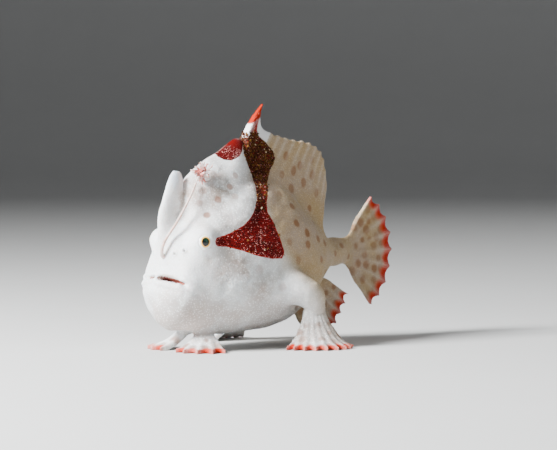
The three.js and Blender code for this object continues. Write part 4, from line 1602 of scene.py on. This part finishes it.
def eye_axes(axis):
    """Two directions across the eye: level, and upwards."""
    across = np.cross(UPWARDS, axis)
    across /= np.linalg.norm(across)
    return across, np.cross(axis, across)


def eye_ball(name, place, axis):
    """A ball with a slightly raised cornea, made round the eye's axis."""
    turn = np.linspace(0, 2 * math.pi, 72, endpoint=False)
    across, high = eye_axes(axis)
    rings = []
    for angle in np.linspace(0.0, math.pi, 61)[1:-1]:
        r = EYE_RADIUS + 0.06 * bell(angle, 0.45)
        centre = place + axis * r * math.cos(angle)
        spoke = across * np.cos(turn)[:, None] + high * np.sin(turn)[:, None]
        rings.append(centre + r * math.sin(angle) * spoke)
    return placed_mesh(name, *closed_loft(np.array(rings)))


# Colours of the eyes, with the green glint painted on the pupil
BALL_WHITE = (0.88, 0.89, 0.88)
RING_ORANGE = (0.80, 0.24, 0.01)
RING_YELLOW = (0.88, 0.56, 0.10)
PUPIL_BLACK = (0.003, 0.004, 0.005)
PAINTED_GLINT_GREEN = (0.004, 0.03, 0.018)


def eye_material(name, place, axis, sizes, colours):
    """White ball with a thin yellow ring and an upright oval pupil round its axis, with a green glint
    painted across the pupil.
    """
    n = Nodes(name)
    centre = to_world(np.array([place]))[0]
    across, high = eye_axes(axis)
    away = n.add("ShaderNodeVectorMath", operation="SUBTRACT")
    n.put(away.inputs[0], n.place())
    away.inputs[1].default_value = tuple(centre)

    def share(way, size):
        """How far a point lies along a direction, in sizes."""
        dot = n.add("ShaderNodeVectorMath", operation="DOT_PRODUCT")
        n.put(dot.inputs[0], away.outputs[0])
        dot.inputs[1].default_value = tuple(way)
        return n.math("DIVIDE", dot.outputs["Value"], size)

    level = share(across, sizes.iris_radius * 0.87)
    upright = share(high, sizes.iris_radius)
    squares = n.math("ADD", n.math("MULTIPLY", level, level), n.math("MULTIPLY", upright, upright))
    radius = n.math("SQRT", squares)
    front = n.math("GREATER_THAN", share(axis, 1.0), 0.0)
    fine = n.noise(2600.0, 3.0, 0.6, n.place())
    white = n.mix(n.ramp(fine, 0.45, 0.7), tuple(colours.white), BALL_WHITE)
    ring = n.mix(n.ramp(radius, 0.76, 0.98), RING_ORANGE, RING_YELLOW)
    colour = n.mix(n.ramp(radius, 1.0, 1.12), ring, white)
    # Painted reflection: a green glint across the pupil, stronger towards its top and one side
    glint_share = n.ramp(n.math("ADD", level, upright), -0.5, 0.9)
    pupil_and_glint = n.mix(glint_share, PUPIL_BLACK, PAINTED_GLINT_GREEN)
    colour = n.mix(n.ramp(radius, 0.84, 0.76), colour, pupil_and_glint)
    colour = n.mix(front, white, colour)
    wet = n.math("ADD", 0.06, n.math("MULTIPLY", n.ramp(radius, 1.0, 1.3), 0.36))
    normal = n.bump(n.math("MULTIPLY", fine, n.ramp(radius, 1.0, 1.3)), 0.00004, 0.6)
    return n.finish(colour=colour, roughness=wet, specular=0.5, normal=normal)


# Course of the lure's rod from the snout to its tip, its radii there, and the middle of the bait
ROD = [
    (0.3, 2.9, 11.9),
    (0.5, 1.45, 12.5),
    (1.3, 1.15, 14.2),
    (2.1, 2.6, 16.8),
    (2.25, 4.4, 19.6),
    (2.0, 5.8, 21.8),
]
ROD_RADII = (0.34, 0.26, 0.2, 0.16, 0.14, 0.13)
BAIT_CENTRE = np.array([2.1, 6.5, 23.0])
BAIT_STEMS = 46


class FROGFISH_OT_lure(bpy.types.Operator):
    """Make the lure: a thin rod folded back over the brow, and its branched bait"""

    bl_idname = "frogfish.lure"
    bl_label = "Lure"

    def execute(self, context):
        radii = [(r, r) for r in ROD_RADII]
        rod = placed_mesh("lure_rod", *closed_loft(tube_rings(ROD, radii, SIDEWAYS, 60, 14)))
        rod.data.materials.append(lure_material("frogfish_lure_rod", 0.12))
        finish_piece(rod, "lure", "illicium")
        bait = placed_mesh("lure_bait", *bait_shells())
        bait.data.materials.append(lure_material("frogfish_bait", 1.0))
        finish_piece(bait, "lure", "esca")
        return {"FINISHED"}


def placed_mesh(name, points, faces):
    """A mesh object from points in fish millimetres, facing outwards and in its place."""
    piece = mesh_object(name, to_world(points), faces)
    turn_outwards(piece.data)
    return piece


def finish_piece(piece, slot, *nodes):
    """Rounds a piece's shading, says what it rides on, and hides the parts it stands for; the slot is
    not used.
    """
    piece.data.polygons.foreach_set("use_smooth", [True] * len(piece.data.polygons))
    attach(piece, "root")
    if nodes:
        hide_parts(*nodes)


def bait_shells():
    """Branched soft filaments that spread from the rod's end."""
    chance = np.random.default_rng(5)
    side = np.array([0.3, 0.2, 0.9])
    turns = np.linspace(0.1, math.pi - 0.1, 14)[:, None, None]
    around = np.linspace(0, 2 * math.pi, 18, endpoint=False)[None, :, None]
    heart = np.concatenate([np.sin(turns) * np.cos(around), np.sin(turns) * np.sin(around)], -1)
    heart = np.concatenate([heart, np.cos(turns) + 0 * around], -1) * np.array([0.34, 0.46, 0.5])
    shells = [closed_loft(BAIT_CENTRE + heart)]
    for k in range(BAIT_STEMS):
        turn = k * math.pi * (3 - math.sqrt(5))
        rise = 1 - 2 * (k + 0.5) / BAIT_STEMS
        flat = math.sqrt(1 - rise * rise)
        way = np.array([0.5 * math.cos(turn) * flat + 0.2, math.sin(turn) * flat, rise])
        length = chance.uniform(0.75, 1.3)
        bend = chance.normal(0, 0.28, 3)
        stem = [BAIT_CENTRE + way * length * t + bend * t * t for t in (0, 0.35, 0.7, 1.0)]
        thick = [(r, r) for r in (0.19, 0.16, 0.12, 0.09)]
        shells.append(closed_loft(tube_rings(stem, thick, side, 12, 8)))
        for branch in range(3):
            start = stem[1 + branch]
            twist = way + chance.normal(0, 0.9, 3)
            twist /= np.linalg.norm(twist)
            twig = [start, start + twist * 0.2, start + twist * 0.36 + bend * 0.1]
            thin = [(0.09, 0.09), (0.07, 0.07), (0.045, 0.045)]
            shells.append(closed_loft(tube_rings(twig, thin, side, 8, 6)))
    return joined_shells(shells)


# Colours of the bait and the rod
BAIT_PINK = (0.60, 0.17, 0.14)
BAIT_PALE = (0.82, 0.62, 0.58)
ROD_WHITE = (0.70, 0.60, 0.54)
ROD_BAND = (0.42, 0.22, 0.15)


def lure_material(name, strength):
    """Soft pink flesh, redder at the roots and white in places, over a white ground."""
    n = Nodes(name)
    place = n.place()
    patch = n.noise(1400.0, 2.0, 0.5, place)
    colour = n.mix(n.ramp(patch, 0.38, 0.60), BAIT_PINK, BAIT_PALE)
    band = n.ramp(n.noise(700.0, 1.0, 0.5, place), 0.52, 0.62)
    pale = n.mix(n.math("MULTIPLY", band, 0.5), ROD_WHITE, ROD_BAND)
    colour = n.mix(strength, pale, colour)
    normal = n.bump(n.noise(3000.0, 3.0, 0.6, place), 0.00004, 0.5)
    soft = (1.0, 0.4, 0.3)
    return n.finish(
        colour=colour, roughness=0.38, normal=normal, subsurface=0.4, radius=soft, scale=0.0004
    )


class FROGFISH_OT_teeth(bpy.types.Operator):
    """Make the fine teeth along both jaws"""

    bl_idname = "frogfish.teeth"
    bl_label = "Teeth"

    def execute(self, context):
        sizes, _ = settings()
        chance = np.random.default_rng(8)
        height = sizes.tooth_height / MM
        opening = sizes.mouth_opening / MM
        thick = [(0.065, 0.065), (0.05, 0.05), (0.02, 0.02)]
        shells = []
        for direction in (1, -1):
            for row in range(3):
                for x in np.linspace(-3.7, 3.7, 46):
                    x = x + chance.normal(0, 0.035)
                    here = np.array([x])
                    s = mouth_front(here)[0] + 0.45 + 0.2 * row
                    half = mouth_gape(here, opening)[0]
                    edge = mouth_height(s) + mouth_droop(x) - direction * half * 0.72
                    tall = min(height * chance.uniform(0.6, 1.2), 0.8 * half)
                    root = np.array([x, s, edge - direction * 0.14])
                    top = root + np.array([chance.normal(0, 0.03), 0.06, direction * (tall + 0.14)])
                    tooth = [root, (root + top) / 2, top]
                    shells.append(closed_loft(tube_rings(tooth, thick, SIDEWAYS, 5, 6)))
        teeth = placed_mesh("teeth", *joined_shells(shells))
        n = Nodes("frogfish_tooth")
        ivory = n.mix(n.noise(2500.0, 2.0, 0.5, n.place()), (0.70, 0.55, 0.48), (0.85, 0.80, 0.75))
        teeth.data.materials.append(n.finish(colour=ivory, roughness=0.3, subsurface=0.2, scale=0.0002))
        finish_piece(teeth, "skin")
        return {"FINISHED"}


class FROGFISH_OT_studio(bpy.types.Operator):
    """Make the pale floor and backdrop, the soft lights and the camera"""

    bl_idname = "frogfish.studio"
    bl_label = "Studio"

    def execute(self, context):
        _, colours = settings()
        make_backdrop(tuple(colours.floor))
        make_lights()
        make_camera()
        return {"FINISHED"}


# Profile of the floor and wall, from the middle outwards: radius and height in metres
BACKDROP = [
    (0.1, 0.0),
    (0.3, 0.0),
    (0.6, 0.0),
    (0.9, 0.0),
    (1.15, 0.03),
    (1.35, 0.13),
    (1.48, 0.35),
    (1.5, 0.6),
    (1.5, 1.2),
]
# Lights: name, place in metres, size, power, colour
LIGHTS = [
    ("key_light", (-0.03, -0.26, 0.18), 0.11, 5.2, (0.97, 0.985, 1.0)),
    ("fill_light", (0.50, 0.02, 0.20), 0.40, 0.32, (0.91, 0.965, 1.0)),
    ("top_light", (-0.05, 0.25, 0.55), 0.50, 1.1, (1.0, 1.0, 1.0)),
]
LIGHTS_AIM = (0.0, -0.004, 0.013)
# Camera: angles in degrees, distance in metres, the point it turns about, and how far its aim lies
# beside that point, in millimetres
CAMERA_AZIMUTH = 50.0
CAMERA_ELEVATION = 2.0
CAMERA_DISTANCE = 0.30
CAMERA_TARGET = (0.0, 5.0 - MIDDLE, 16.3)
CAMERA_ASIDE = 12.5


def make_backdrop(colour):
    """A round floor that curves up into a wall far behind the fish on every side."""
    corners = 96
    turn = np.linspace(0, 2 * math.pi, corners, endpoint=False)
    rings = []
    for r, h in curve_through(BACKDROP, 60):
        rings.append(np.stack([r * np.cos(turn), r * np.sin(turn), np.full_like(turn, max(h, 0.0))], -1))
    points = np.concatenate(rings + [np.zeros((1, 3))])
    faces = []
    for i in range(len(rings) - 1):
        near = i * corners
        far = near + corners
        for j in range(corners):
            k = (j + 1) % corners
            faces.append((near + j, far + j, far + k, near + k))
    middle = len(points) - 1
    faces += [(middle, j, (j + 1) % corners) for j in range(corners)]
    floor = mesh_object("studio_floor", points, faces)
    floor.data.polygons.foreach_set("use_smooth", [True] * len(floor.data.polygons))
    n = Nodes("studio_paper")
    paper = n.mix(n.noise(40.0, 4.0, 0.5, n.place()), colour, tuple(c * 0.96 for c in colour))
    floor.data.materials.append(n.finish(colour=paper, roughness=0.75, specular=0.2))


def make_lights():
    """A soft key from the front left of the picture, a wide fill from its right, and a top light."""
    aim = Vector(LIGHTS_AIM)
    for name, place, size, power, colour in LIGHTS:
        data = bpy.data.lights.new(name, "AREA")
        data.shape = "DISK"
        data.size = size
        data.energy = power
        data.color = colour
        light = bpy.data.objects.new(name, data)
        light.location = place
        light.rotation_euler = (aim - Vector(place)).to_track_quat("-Z", "Y").to_euler()
        bpy.context.scene.collection.objects.link(light)
    world = bpy.data.worlds.new("studio_air")
    bpy.context.scene.world = world
    world.use_nodes = True
    air = world.node_tree.nodes["Background"]
    air.inputs["Color"].default_value = (0.9, 0.93, 1.0, 1.0)
    air.inputs["Strength"].default_value = 0.08


def make_camera():
    """The camera at the photograph's angle: 50 degrees to the fish's left of its nose, nearly level."""
    azimuth = math.radians(CAMERA_AZIMUTH)
    elevation = math.radians(CAMERA_ELEVATION)
    aim = np.array(CAMERA_TARGET) * MM
    aim = aim + CAMERA_ASIDE * MM * np.array([math.cos(azimuth), math.sin(azimuth), 0.0])
    away = np.array(
        [
            math.sin(azimuth) * math.cos(elevation),
            -math.cos(azimuth) * math.cos(elevation),
            math.sin(elevation),
        ]
    )
    data = bpy.data.cameras.new("camera")
    data.lens = 150.0
    data.sensor_width = 36.0
    data.clip_start = 0.01
    camera = bpy.data.objects.new("camera", data)
    camera.location = aim + away * CAMERA_DISTANCE
    camera.rotation_euler = Vector(-away).to_track_quat("-Z", "Y").to_euler()
    bpy.context.scene.collection.objects.link(camera)
    bpy.context.scene.camera = camera


class FROGFISH_PT_panel(bpy.types.Panel):
    """The pieces of the fish, and their sizes and colours"""

    bl_label = "Frogfish"
    bl_idname = "FROGFISH_PT_panel"
    bl_space_type = "VIEW_3D"
    bl_region_type = "UI"
    bl_category = "Frogfish"

    def draw(self, context):
        column = self.layout.column()
        for piece in PIECES:
            column.operator(piece.bl_idname)
        for group in settings():
            for name in group.__annotations__:
                column.prop(group, name)


PIECES = [
    FROGFISH_OT_studio,
    FROGFISH_OT_skin,
    FROGFISH_OT_coat,
    FROGFISH_OT_grains,
    FROGFISH_OT_eyes,
    FROGFISH_OT_teeth,
    FROGFISH_OT_lure,
]
CLASSES = [FrogfishSizes, FrogfishColours, *PIECES, FROGFISH_PT_panel]


def register():
    for item in CLASSES:
        bpy.utils.register_class(item)
    bpy.types.Scene.frogfish_sizes = bpy.props.PointerProperty(type=FrogfishSizes)
    bpy.types.Scene.frogfish_colours = bpy.props.PointerProperty(type=FrogfishColours)


def unregister():
    del bpy.types.Scene.frogfish_sizes
    del bpy.types.Scene.frogfish_colours
    for item in reversed(CLASSES):
        bpy.utils.unregister_class(item)


def main():
    register()
    for piece in PIECES:
        group, name = piece.bl_idname.split(".")
        getattr(getattr(bpy.ops, group), name)()


if __name__ == "__main__":
    main()
